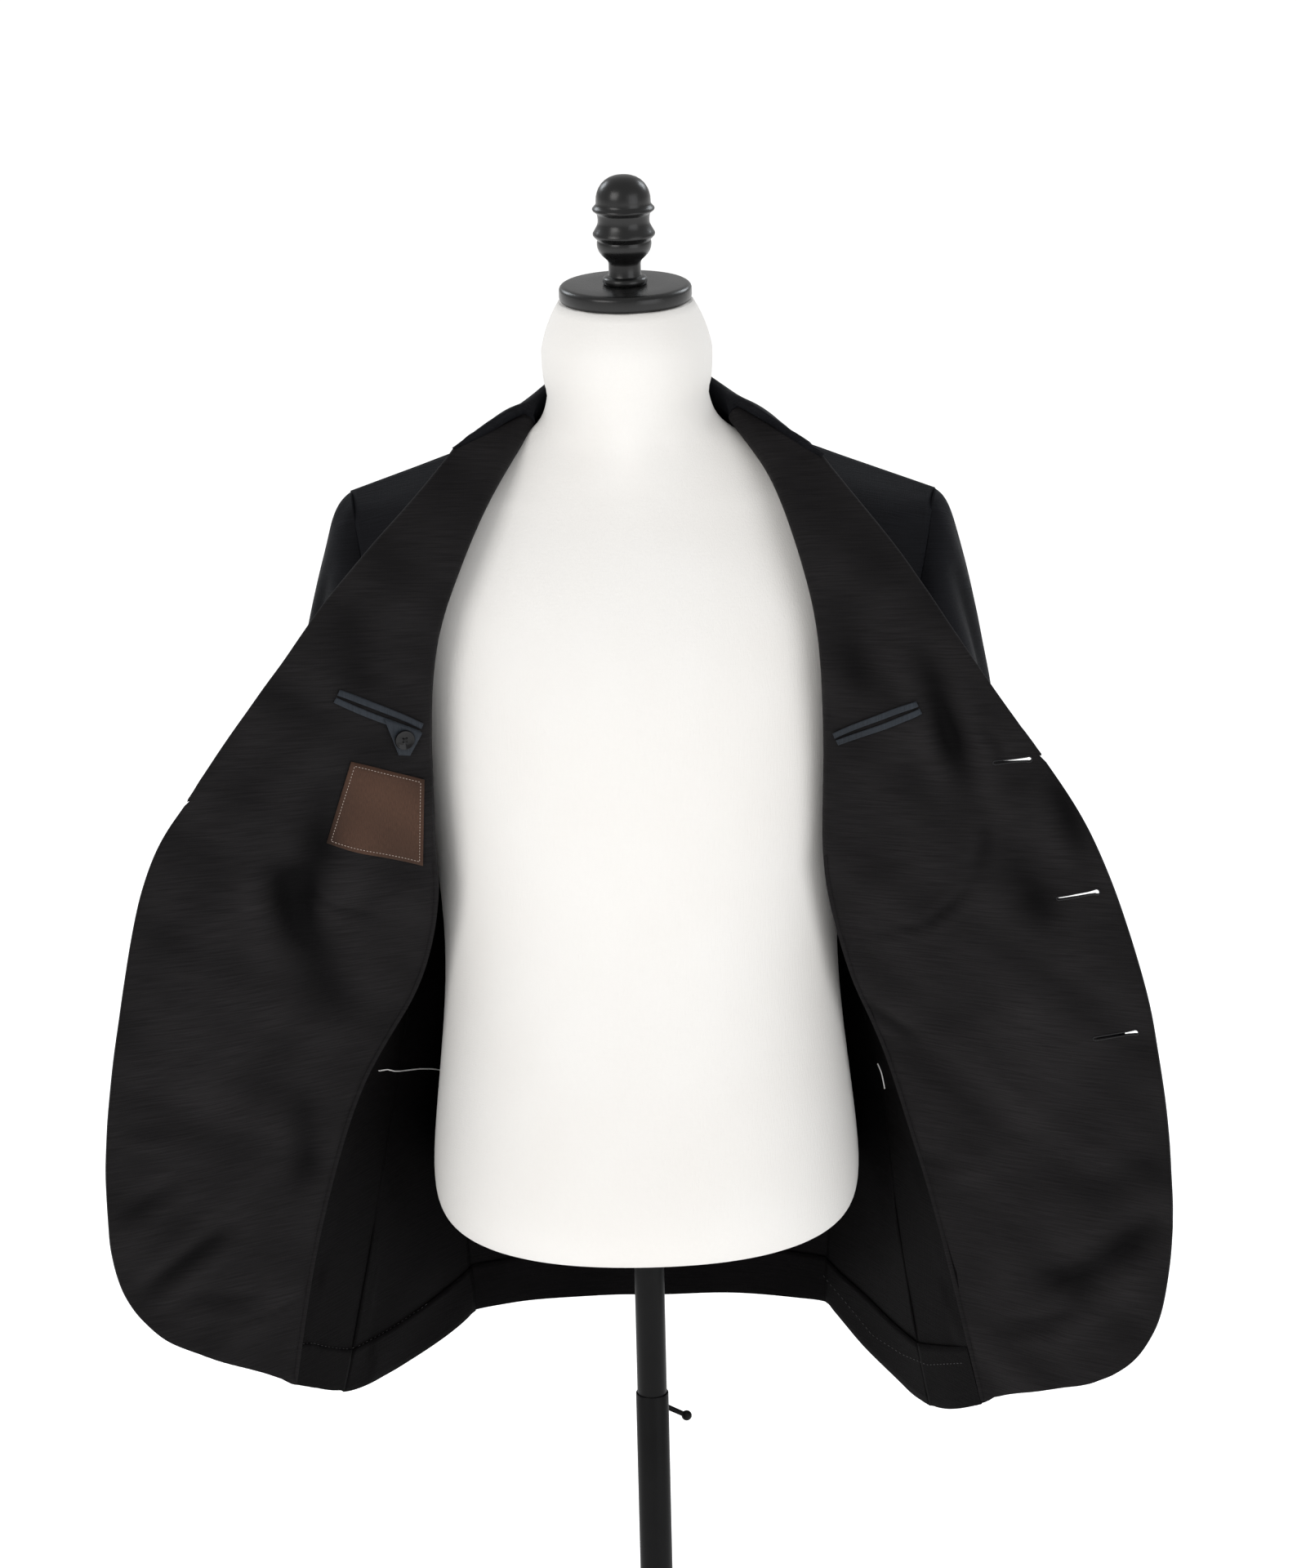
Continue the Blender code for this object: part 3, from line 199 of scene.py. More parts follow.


# the last pair multiplies the colour, from the painted highlight on a swell to the painted shade in a crease
outerLook = {
    "colour": (0.0105, 0.0108, 0.0132), "roughness": 0.58, "sheen": 0.016, "sheenRoughness": 0.5,
    "sheenTint": (0.80, 0.87, 1.0), "specular": 0.05, "slubs": (34, 820, 1), "warp": (1500, 30, 1),
    "grain": (2600, 2600, 1), "darkest": 0.70, "lightest": 1.36, "slubDepth": 0.00034, "warpDepth": 0.00014,
    "grainDepth": 0.00014, "paintedCreaseShade": ((1.0, 1.0, 1.0), (0.12, 0.12, 0.13)),
}
insideLook = dict(
    outerLook, colour=(0.0172, 0.0160, 0.0166), sheen=0.010, sheenTint=(1.0, 0.90, 0.94), specular=0.045,
)
# painted shade: a darker copy of the cloth with no sheen, for the hems and the inside of the body, which lie
# in shade
shadedLook = dict(outerLook, colour=(0.0048, 0.0043, 0.0046), sheen=0.0, specular=0.02)
slateLook = dict(
    outerLook, colour=(0.029, 0.036, 0.046), roughness=0.42, sheen=0.03, specular=0.16, slubs=(1700, 60, 1),
    slubDepth=0.00012,
)
labelLook = dict(
    outerLook, colour=(0.092, 0.046, 0.029), roughness=0.62, sheen=0.03, sheenTint=(1.0, 0.85, 0.7),
    specular=0.14, slubs=(1900, 240, 1), darkest=0.82, lightest=1.22, slubDepth=0.00014,
)
outerCloth = wovenCloth("outerCloth", outerLook)
insideCloth = wovenCloth("insideCloth", insideLook)
shadedCloth = wovenCloth("shadedCloth", shadedLook)
slateSatin = wovenCloth("slateSatin", slateLook)
labelCloth = wovenCloth("labelCloth", labelLook)


def threadMaterial(name, colour, roughness=0.6, sheen=0.2):
    material, tree, shader = newMaterial(name, colour, roughness, Sheen_Weight=sheen, Specular_IOR_Level=0.3)
    place = objectPlace(tree)
    twist = stretchedNoise(tree, place, (1400, 1400, 1400), 2.0)
    low, high = tuple(c * 0.75 for c in colour), tuple(min(c * 1.15, 1) for c in colour)
    tree.links.new(colourRamp(tree, twist, low, high), shader.inputs["Base Color"])
    addBump(tree, shader, twist, 0.0001)
    return material


darkThread = threadMaterial("darkThread", (0.006, 0.006, 0.007), 0.42, 0.02)
greyThread = threadMaterial("greyThread", (0.035, 0.034, 0.036), 0.5)
labelThread = threadMaterial("labelThread", (0.36, 0.29, 0.25))
whiteThread = threadMaterial("whiteThread", (0.80, 0.79, 0.78))


def jerseyCover():
    material, tree, shader = newMaterial(
        "jerseyCover", (0.80, 0.785, 0.76), 0.86, Sheen_Weight=0.06, Sheen_Roughness=0.6,
        Specular_IOR_Level=0.2,
    )
    place = objectPlace(tree)
    wales = stretchedNoise(tree, place, (1100, 1100, 90), 2.0)
    courses = stretchedNoise(tree, place, (160, 160, 1200), 2.0)
    shade = stretchedNoise(tree, place, (5, 5, 4), 3.0)
    cover = colourRamp(tree, shade, (0.785, 0.765, 0.735), (0.82, 0.808, 0.785), 0.35, 0.7)
    tree.links.new(cover, shader.inputs["Base Color"])
    addBump(tree, shader, wales, 0.00022)
    addBump(tree, shader, courses, 0.00012)
    return material


def blackPaint(name, colour, roughness, specular, grainScale, depth):
    # satin paint: a faint orange-peel bump and patches where handling has polished or dulled it
    material, tree, shader = newMaterial(name, colour, roughness, Specular_IOR_Level=specular)
    place = objectPlace(tree)
    peel = stretchedNoise(tree, place, grainScale, 3.0)
    patches = stretchedNoise(tree, place, (22, 22, 14), 4.0)
    worn = addNode(tree, "ShaderNodeMapRange")
    worn.inputs["To Min"].default_value = roughness - 0.07
    worn.inputs["To Max"].default_value = roughness + 0.10
    tree.links.new(patches, worn.inputs["Value"])
    tree.links.new(worn.outputs["Result"], shader.inputs["Roughness"])
    low, high = tuple(c * 0.8 for c in colour), tuple(c * 1.35 for c in colour)
    tree.links.new(colourRamp(tree, patches, low, high), shader.inputs["Base Color"])
    addBump(tree, shader, peel, depth)
    return material


def hornBlack():
    material, tree, shader = newMaterial("hornBlack", (0.004, 0.004, 0.0045), 0.13, Specular_IOR_Level=0.28)
    place = objectPlace(tree)
    streaks = stretchedNoise(tree, place, (240, 240, 900), 5.0)
    horn = colourRamp(tree, streaks, (0.002, 0.002, 0.0025), (0.008, 0.007, 0.007), 0.45, 0.8)
    tree.links.new(horn, shader.inputs["Base Color"])
    addBump(tree, shader, streaks, 0.00005)
    return material


jersey = jerseyCover()
blackWood = blackPaint("blackWood", (0.0045, 0.0045, 0.0045), 0.27, 0.42, (500, 500, 120), 0.00006)
blackSteel = blackPaint("blackSteel", (0.0045, 0.0045, 0.0047), 0.40, 0.10, (900, 900, 900), 0.00005)
horn = hornBlack()
print("blazer: materials made")


# Helpers for pieces
def showPiece(name, mesh, material, slot, replaced=(), body="form"):
    piece = addObject(name, mesh)
    mesh.materials.clear()
    mesh.materials.append(material)
    mesh.shade_smooth()
    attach(piece, body)
    if replaced:
        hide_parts(*replaced)
    return piece


def settle(piece):
    # applies the modifiers, so that later steps can move the finished points
    graph = bpy.context.evaluated_depsgraph_get()
    finished = bpy.data.meshes.new_from_object(piece.evaluated_get(graph))
    piece.modifiers.clear()
    piece.data = finished
    return piece


def smoothPiece(piece, levels):
    smooth = piece.modifiers.new("smooth", "SUBSURF")
    smooth.levels = levels
    smooth.render_levels = levels
    return settle(piece)


def cutAway(piece, cutter, solver):
    cut = piece.modifiers.new("holes", "BOOLEAN")
    cut.operation = "DIFFERENCE"
    cut.solver = solver
    cut.object = cutter
    return settle(piece)


def turnProfile(profile, steps, weld):
    # (radius, height) points spun right round; a profile that ends where it starts makes a tube
    work = bmesh.new()
    closed = profile[0] == profile[-1]
    verts = [work.verts.new((x, 0, z)) for x, z in (profile[:-1] if closed else profile)]
    edges = [work.edges.new(pair) for pair in zip(verts[:-1], verts[1:])]
    if closed:
        edges.append(work.edges.new((verts[-1], verts[0])))
    bmesh.ops.spin(
        work, geom=verts + edges, axis=(0, 0, 1), cent=(0, 0, 0), angle=2 * pi, steps=steps, use_merge=True
    )
    bmesh.ops.remove_doubles(work, verts=work.verts, dist=weld)
    bmesh.ops.recalc_face_normals(work, faces=work.faces)
    return work


def fromBmesh(name, work):
    mesh = bpy.data.meshes.new(name)
    work.to_mesh(mesh)
    work.free()
    return mesh


def readPoints(mesh):
    points = np.empty(len(mesh.vertices) * 3)
    mesh.vertices.foreach_get("co", points)
    return points.reshape(-1, 3)


def writePoints(mesh, points):
    mesh.vertices.foreach_set("co", points.ravel())
    mesh.update()


def treeOf(mesh):
    mesh.calc_loop_triangles()
    return BVHTree.FromPolygons(
        [v.co for v in mesh.vertices], [tuple(t.vertices) for t in mesh.loop_triangles], all_triangles=True
    )


# Cloth panels: each is its node's own wall, made of quads again, smoothed and then creased.
panelBuild = {
    "weld": 0.001 * mm,
    "flatWithin": radians(40),  # two triangles make a quad where they bend less than this
    "skewWithin": radians(70),
    "rimBelow": 2.4 * mm,  # a face narrower than this is the cut edge of the cloth
    "rimAngle": radians(48),
    # how far the cut edges move out, to meet at the seams
    "closeBy": {"panel": 0.22 * mm, "sleeve": 1.05 * mm, "collar": 1.9 * mm},
}
# each cut piece: how finely it is smoothed, its flat cut (width, length), the cut's area and its cloth
panelCuts = {
    "front_right_worn": (3, (0.360, 0.800), 0.192, outerCloth),
    "front_left_worn": (3, (0.370, 0.830), 0.204, outerCloth),
    "facing_right_worn": (3, (0.270, 0.800), 0.138, insideCloth),
    "facing_left_worn": (3, (0.280, 0.830), 0.146, insideCloth),
    "side_right_worn": (3, (0.125, 0.600), 0.049, outerCloth),
    "side_left_worn": (3, (0.125, 0.600), 0.047, outerCloth),
    "back_right_worn": (3, (0.225, 0.800), 0.142, outerCloth),
    "back_left_worn": (3, (0.225, 0.800), 0.145, outerCloth),
    "top_sleeve_right_worn": (3, (0.240, 0.660), 0.135, outerCloth),
    "top_sleeve_left_worn": (3, (0.240, 0.660), 0.133, outerCloth),
    "under_sleeve_right_worn": (3, (0.100, 0.500), 0.036, outerCloth),
    "under_sleeve_left_worn": (3, (0.100, 0.500), 0.036, outerCloth),
    "collar": (2, (0.400, 0.075), 0.022, outerCloth),
    # the hems take the darker copy of the cloth: painted shade
    "hem_front_right_worn": (3, (0.060, 0.050), 0.0026, shadedCloth),
    "hem_front_left_worn": (3, (0.070, 0.075), 0.0042, shadedCloth),
    "hem_side_right_worn": (3, (0.140, 0.050), 0.0064, shadedCloth),
    "hem_side_left_worn": (3, (0.140, 0.050), 0.0065, shadedCloth),
    "hem_back_right_worn": (3, (0.160, 0.045), 0.0071, shadedCloth),
    "hem_back_left_worn": (3, (0.160, 0.045), 0.0071, shadedCloth),
    "hip_flap_right_worn": (3, (0.140, 0.056), 0.0075, outerCloth),
    "hip_flap_left_worn": (2, (0.140, 0.056), 0.0070, outerCloth),
    "breast_welt": (2, (0.100, 0.028), 0.0027, outerCloth),
    "label": (2, (0.070, 0.072), 0.0046, labelCloth),
    "button_tab": (2, (0.030, 0.030), 0.0005, slateSatin),
}
halves = ("right_worn", "left_worn")
jetNames = [f"inner_jet_{side}_{row}" for side in halves for row in ("upper", "lower")]
slotOf = {entry["node"]: entry["material_slot"] for entry in frame["record"]["subparts"]}


def quadWall(nodeName):
    work = bmesh.new()
    work.from_mesh(nodes[nodeName].data)
    bmesh.ops.remove_doubles(work, verts=work.verts, dist=panelBuild["weld"])
    bmesh.ops.join_triangles(
        work, faces=work.faces, angle_face_threshold=panelBuild["flatWithin"],
        angle_shape_threshold=panelBuild["skewWithin"],
    )
    return work


def isRim(face):
    return min(edge.calc_length() for edge in face.edges) < panelBuild["rimBelow"]


def creaseRims(work, outwards):
    crease = work.edges.layers.float.new("crease_edge")
    push = {}
    for face in work.faces:
        if not isRim(face):
            continue
        for vert in face.verts:
            push.setdefault(vert, Vector())
            push[vert] += face.normal
    for edge in work.edges:
        if len(edge.link_faces) != 2 or edge.calc_face_angle() < panelBuild["rimAngle"]:
            continue
        if any(isRim(face) for face in edge.link_faces):
            edge[crease] = 1.0
    for vert, way in push.items():
        vert.co += way.normalized() * outwards


# in metres: where the shoulder starts to bend, and how the weave then runs over its ridge
weaveRun = {"shoulder": 1.14, "over": 0.08, "share": 0.7, "ridge": 0.01, "front": 0.1, "back": 0.12}


def weaveMap(mesh):
    # u and v in metres: across the cloth, and up it along the curve of the shoulder
    points = readPoints(mesh)
    normals = np.empty(len(mesh.polygons) * 3)
    mesh.polygons.foreach_get("normal", normals)
    facing = np.abs(normals.reshape(-1, 3)).mean(axis=0)
    across = points[:, 0] if facing[1] > facing[0] else points[:, 1]
    rise = np.clip((points[:, 2] - weaveRun["shoulder"]) / weaveRun["over"], 0, 1)
    y = points[:, 1]
    ahead = np.where(y < weaveRun["ridge"], y + weaveRun["front"], weaveRun["back"] - y)
    along = points[:, 2] + rise * weaveRun["share"] * ahead
    corners = np.empty(len(mesh.loops), dtype=int)
    mesh.loops.foreach_get("vertex_index", corners)
    layer = mesh.uv_layers.new(name="weave")
    layer.data.foreach_set("uv", np.stack([across[corners], along[corners]], axis=1).ravel())


def clothPanel(nodeName, level, material):
    work = quadWall(nodeName)
    closing = next((kind for kind in ("sleeve", "collar") if kind in nodeName), "panel")
    creaseRims(work, panelBuild["closeBy"][closing])
    mesh = fromBmesh(nodeName, work)
    return smoothPiece(showPiece(f"cloth_{nodeName}", mesh, material, slotOf[nodeName], [nodeName]), level)


def faceArrays(mesh):
    middles, normals = (np.empty(len(mesh.polygons) * 3) for _ in range(2))
    mesh.polygons.foreach_get("center", middles)
    mesh.polygons.foreach_get("normal", normals)
    return middles.reshape(-1, 3), normals.reshape(-1, 3)


def darkenInside(name):
    # painted shade: the inward faces of the body, up to where the facings close over it, get a darker copy of
    # the cloth for the shade inside the jacket
    top = innerSide["frontTop"] if name.startswith("front") else innerSide["top"]
    mesh = panels[name].data
    middles, normals = faceArrays(mesh)
    inwards = ((np.array(innerSide["middle"]) - middles[:, :2]) * normals[:, :2]).sum(axis=1) > 0
    mesh.materials.append(shadedCloth)
    mesh.polygons.foreach_set("material_index", (inwards & (middles[:, 2] < top)).astype(int))


innerSide = {"middle": (0, -0.25), "frontTop": 0.98, "top": 1.25}
panels = {name: clothPanel(name, cut[0], cut[3]) for name, cut in panelCuts.items()}
panels.update({name: clothPanel(name, 2, slateSatin) for name in jetNames})
for name in panels:
    if name.startswith(("front", "side", "back")):
        darkenInside(name)
print("blazer: panels smoothed")


# Creases, placed one by one. wide is half the crease's width, deep how far it sinks back, and lip how much
# the cloth swells beside it, all in millimetres but the lip, which is a share of the depth.
def fold(wide, deep, lip, *line):
    return {"wide": wide, "deep": deep, "lip": lip, "line": line}


# the wings' creases run through (x, z), seen from the front
wingFolds = {
    "right_worn": (
        fold(15, 5.0, 0.25, (-232, 1040), (-236, 1004), (-254, 966), (-252, 940), (-240, 905), (-222, 872)),
        fold(11, 3.0, 0.3, (-275, 1006), (-262, 978), (-252, 945)),
        fold(3.2, 1.3, 0.5, (-249, 974), (-232, 960), (-218, 952), (-195, 943)),
        fold(7, 3.2, 0.5, (-318, 702), (-351, 684), (-380, 666)),
        fold(8, 2.2, 0.3, (-345, 752), (-372, 741), (-396, 727)),
        fold(6, 1.6, 0.3, (-389, 803), (-372, 797), (-352, 792)),
        fold(6, 1.6, 0.4, (-300, 640), (-330, 650), (-352, 655)),
        fold(10, 2.4, 0.2, (-262, 800), (-258, 760), (-262, 725)),
        fold(14, 1.4, 0.2, (-210, 1180), (-200, 1150), (-205, 1115)),
        fold(26, -2.0, 0.0, (-340, 900), (-330, 850), (-335, 800)),
        fold(4, 1.4, 0.4, (-268, 632), (-290, 626), (-310, 628)),
    ),
    "left_worn": (
        fold(9, 4.2, 0.35, (209, 1140), (217, 1122), (224, 1100), (232, 1070), (246, 1034)),
        fold(9, 3.2, 0.3, (300, 1060), (311, 1036), (318, 1016), (325, 994)),
        fold(3.6, 1.7, 0.5, (168, 914), (193, 923), (215, 932), (231, 948), (245, 966)),
        fold(5, 1.2, 0.3, (250, 978), (256, 1000), (254, 1020)),
        fold(13, 3.0, 0.2, (272, 990), (284, 972), (296, 952), (306, 938)),
        fold(5, 2.2, 0.5, (170, 852), (185, 841), (206, 828)),
        fold(4.5, 0.8, 0.5, (212, 729), (230, 725), (254, 728)),
        fold(11, 3.6, 0.3, (389, 712), (361, 683), (325, 650), (290, 640)),
        fold(6, 2.6, 0.5, (330, 628), (303, 606), (272, 592)),
        fold(13, 2.2, 0.2, (385, 760), (352, 735), (310, 722)),
        fold(13, 2.0, 0.2, (157, 1170), (162, 1140), (165, 1105)),
        fold(30, -2.2, 0.0, (300, 880), (290, 820), (296, 760)),
        fold(4, 1.0, 0.4, (250, 1090), (262, 1078), (266, 1066)),
    ),
}
# darkest is the crease depth at which the painted crease shade is at its darkest
creaseForm = {"strength": 1.55, "darkest": 5.5 * mm, "lipAt": 2.1, "ends": 0.02}
wingLayer = {"full": 9 * mm, "none": 17 * mm}  # how near the facing a point has to be to move with it
slackCloth = {"height": 0.75 * mm, "lengths": (0.071, 0.113, 0.047)}  # the faint unevenness of hung cloth


def creaseDepth(flatPoints, crease):
    # how far each (x, z) point sinks, in metres
    line = np.array(crease["line"], float) * mm
    wide = crease["wide"] * mm
    ends = creaseForm["ends"]
    steps = np.linalg.norm(np.diff(line, axis=0), axis=1)
    starts = np.concatenate([[0], np.cumsum(steps)])
    nearest = np.full(len(flatPoints), 1e3)
    place = np.zeros(len(flatPoints))
    for start, end, step, run in zip(line[:-1], line[1:], steps, starts):
        along = np.clip((flatPoints - start) @ (end - start) / step**2, 0, 1)
        gap = np.linalg.norm(flatPoints - start - along[:, None] * (end - start), axis=1)
        closer = gap < nearest
        nearest = np.where(closer, gap, nearest)
        place = np.where(closer, (run + along * step) / starts[-1], place)
    fade = np.sqrt(np.clip(np.sin(np.clip(place, ends, 1 - ends) * pi), 0, 1))
    hollow = np.exp(-((nearest / wide) ** 2))
    lip = crease["lip"] * np.exp(-(((nearest - creaseForm["lipAt"] * wide) / wide) ** 2))
    return creaseForm["strength"] * crease["deep"] * mm * fade * (hollow - lip)


# the hollow attribute drives the painted crease shade and painted highlight of the woven cloth
def markPaintedCreaseShade(mesh, sink):
    layer = mesh.attributes.get("hollow") or mesh.attributes.new("hollow", "FLOAT", "POINT")
    layer.data.foreach_set("value", np.clip(sink / creaseForm["darkest"], -1, 1))


def layerShare(points, tree):
    share = np.zeros(len(points))
    for i, point in enumerate(points):
        hit = tree.ray_cast(Vector((point[0], -1, point[2])), Vector((0, 1, 0)))[0]
        if hit is None:
            hit = tree.find_nearest(Vector(point))[0]
        gap = abs(point[1] - hit.y)
        share[i] = 1 - min(max((gap - wingLayer["full"]) / (wingLayer["none"] - wingLayer["full"]), 0), 1)
    return share


def creaseWing(side):
    facingTree = treeOf(panels[f"facing_{side}"].data)
    names = [name for name in panels if name.endswith(side) or side in name]
    names = [n for n in names if n.startswith(("front", "facing", "hip", "inner_jet"))]
    names += ["label", "button_tab"] if side == "right_worn" else ["breast_welt"]
    for name in names:
        mesh = panels[name].data
        points = readPoints(mesh)
        flatPoints = points[:, [0, 2]]
        sink = sum(creaseDepth(flatPoints, crease) for crease in wingFolds[side])
        a, b, c = (2 * pi / length for length in slackCloth["lengths"])
        x, z = flatPoints.T
        slack = np.sin(a * x + 2 * np.sin(b * z)) + np.sin(b * x + c * z * 0.6 + 1.3)
        slack += 0.6 * np.sin(c * z + a * x)
        moved = (sink + slackCloth["height"] * slack) * layerShare(points, facingTree)
        points[:, 1] += moved
        writePoints(mesh, points)
        markPaintedCreaseShade(mesh, moved)


# Where the lapel ends the edge would step in, so the last of it is drawn in little by little: height of
# the break, how far up that reaches and how far in it goes; and the sleeve head is lifted to its shoulder.
breakEnds = {"right_worn": (1051, 75, 1.4), "left_worn": (1069, 75, 1.4)}
edgeShare = 26 * mm
sleeveHead = {"from": 1205 * mm, "full": 1232 * mm, "lift": 3.4 * mm, "fade": 26 * mm}


def drawInLapel(side):
    way = -1 if side == "right_worn" else 1
    height, reach, inwards = (value * mm for value in breakEnds[side])
    for name in (f"front_{side}", f"facing_{side}"):
        points = readPoints(panels[name].data)
        above = points[:, 2] - height
        share = np.where(above > -1 * mm, 1 - np.clip(above / reach, 0, 1), 0) ** 1.5
        rows = np.round(points[:, 2] / (4 * mm)).astype(int)
        edge = {row: (points[rows == row, 0] * way).max() for row in np.unique(rows)}
        away = np.array([edge[row] for row in rows]) - points[:, 0] * way
        points[:, 0] -= way * inwards * share * np.clip(1 - away / edgeShare, 0, 1)
        writePoints(panels[name].data, points)


def liftSleeveHead(name):
    points = readPoints(panels[name].data)
    high = np.clip((points[:, 2] - sleeveHead["from"]) / (sleeveHead["full"] - sleeveHead["from"]), 0, 1)
    inner = np.abs(points[points[:, 2] > sleeveHead["full"], 0]).min()
    near = np.clip(1 - (np.abs(points[:, 0]) - inner) / sleeveHead["fade"], 0, 1)
    points[:, 2] += sleeveHead["lift"] * high * near
    writePoints(panels[name].data, points)


# Outlines that the camera sees against the white: a hem or an edge runs on in one curve over its pieces.
hemCurve = {"between": (205, 350), "smooth": 12, "depth": 45}
breakCurve = {"below": 16, "above": 30, "smooth": 4.5, "depth": 26}
# the hem sags between its seams
sideHem = {"between": (146, 262), "drop": 12 * mm, "full": 640 * mm, "none": 790 * mm}


def hemSag(points):
    run = np.clip((np.abs(points[:, 0]) / mm - sideHem["between"][0]) / np.ptp(sideHem["between"]), 0, 1)
    share = np.clip((sideHem["none"] - points[:, 2]) / (sideHem["none"] - sideHem["full"]), 0, 1)
    return sideHem["drop"] * np.sin(run * pi) ** 0.7 * share**2 * (3 - 2 * share)


def sagHem(side):
    for part in ("side", "hem_side", "front", "hem_front"):
        points = readPoints(panels[f"{part}_{side}"].data)
        points[:, 2] -= hemSag(points)
        writePoints(panels[f"{part}_{side}"].data, points)


def outlineReach(names, places, along, out, way):
    # how far the cloth reaches at each place along its outline
    reach = np.full(len(places), -1e3)
    for name in names:
        mesh = panels[name].data
        points = readPoints(mesh)
        pairs = np.empty(len(mesh.edges) * 2, dtype=int)
        mesh.edges.foreach_get("vertices", pairs)
        starts, ends = points[pairs[::2]], points[pairs[1::2]]
        for share in np.linspace(0, 1, 9):
            spots = starts + (ends - starts) * share
            index = np.round((spots[:, along] - places[0]) / (places[1] - places[0])).astype(int)
            here = (index >= 0) & (index < len(places))
            np.maximum.at(reach, index[here], way * spots[here, out])
    known = reach > -100
    return np.interp(places, places[known], reach[known])


def easeOutline(names, along, out, way, between, smooth, depth):
    low, high = (place * mm for place in between)
    places = np.arange(low - 4 * smooth * mm, high + 4 * smooth * mm, mm)
    reach = outlineReach(names, places, along, out, way)
    spread = np.arange(-ceil(3 * smooth), ceil(3 * smooth) + 1)
    weights = np.exp(-((spread / smooth) ** 2) / 2)
    eased = np.convolve(np.pad(reach, len(spread) // 2, mode="edge"), weights / weights.sum(), mode="valid")
    shift = (eased - reach) * np.clip(np.minimum(places - low, high - places) / (8 * mm), 0, 1)
    for name in names:
        points = readPoints(panels[name].data)
        here = points[:, along]
        behind = np.interp(here, places, reach) - way * points[:, out]
        points[:, out] += way * np.interp(here, places, shift) * (1 - np.clip(behind / (depth * mm), 0, 1))
        writePoints(panels[name].data, points)


def easeFront(side):
    way = -1 if side == "right_worn" else 1
    height = breakEnds[side][0]
    names = [f"{part}_{side}" for part in ("front", "facing")]
    between = (height - breakCurve["below"], height + breakCurve["above"])
    easeOutline(names, 2, 0, way, between, breakCurve["smooth"], breakCurve["depth"])
    names += [f"{part}_{side}" for part in ("hem_front", "side", "hem_side")]
    between = sorted(way * place for place in hemCurve["between"])
    easeOutline(names, 0, 2, -1, between, hemCurve["smooth"], hemCurve["depth"])


# A jet is a narrow roll, and the pocket's mouth gapes a little between the two
jetForm = {"narrow": 0.78, "gape": 0.8 * mm}


def shapeJet(name):
    points = readPoints(panels[name].data)
    flatPoints = points[:, [0, 2]] - points[:, [0, 2]].mean(axis=0)
    ahead = np.linalg.svd(flatPoints, full_matrices=False)[2][0]
    aside = np.array([-ahead[1], ahead[0]]) * (1 if ahead[0] > 0 else -1)
    run, off = flatPoints @ ahead, flatPoints @ aside
    open_ = jetForm["gape"] * (1 - (run / np.abs(run).max()) ** 2) * (1 if name.endswith("upper") else -1)
    points[:, [0, 2]] += np.outer(open_ - off * (1 - jetForm["narrow"]), aside)
    writePoints(panels[name].data, points)


# The outside of the body and the sleeves: rings of (turn, height) creases round an upright middle line
bodyFolds = (
    # turn in degrees from the right of a front view towards the back, height in millimetres
    fold(16, 2.6, 0.2, (60, 1120), (63, 1060), (58, 990)),
    fold(16, 2.6, 0.2, (120, 1120), (117, 1060), (122, 990)),
    fold(9, 2.0, 0.4, (42, 950), (70, 935), (90, 940)),
    fold(9, 2.0, 0.4, (138, 955), (112, 938), (92, 944)),
    fold(8, 1.5, 0.4, (35, 900), (60, 885), (80, 892)),
    fold(8, 1.5, 0.4, (145, 905), (122, 888), (104, 893)),
    fold(18, 3.0, 0.2, (70, 820), (74, 740), (70, 640)),
    fold(18, 3.0, 0.2, (110, 820), (106, 740), (110, 640)),
    fold(15, 2.6, 0.2, (20, 820), (16, 740), (20, 650)),
    fold(15, 2.6, 0.2, (160, 820), (165, 740), (160, 650)),
    fold(9, 1.6, 0.3, (80, 1215), (90, 1210), (100, 1215)),
)
bodyForm = {"radius": 150 * mm, "still": (140, 158)}
sleeveFolds = (
    fold(11, 2.4, 0.4, (-60, 1190), (-35, 1130), (-20, 1060)),
    fold(12, 2.6, 0.4, (50, 1170), (35, 1110), (25, 1050)),
    fold(9, 2.8, 0.5, (-80, 905), (-40, 890), (0, 902)),
    fold(9, 2.4, 0.5, (-95, 865), (-55, 848), (-5, 856)),
    fold(10, 2.2, 0.4, (30, 930), (70, 915), (110, 925)),
    fold(10, 1.8, 0.4, (60, 830), (95, 812), (130, 822)),
    fold(10, 1.6, 0.4, (-70, 780), (-30, 765), (20, 775)),
    fold(13, 2.2, 0.3, (120, 960), (160, 900), (190, 850)),
    fold(14, 1.4, 0.2, (-30, 700), (-20, 660), (-25, 630)),
)
# the sleeve's middle line: height, distance out and back, and how far the left one stands further out
sleeveForm = {"height": (620, 740, 860, 930, 1000, 1250), "out": (305, 281, 256, 243, 231, 205),
              "back": (41, 35, 28, 24, 20, 10), "leftFurther": 8, "radius": 50 * mm, "still": (222, 190)}
# cloth lies still near the armhole: above this height, and by its form's distances out (moving, still)
armhole = {"from": 985, "over": 40}


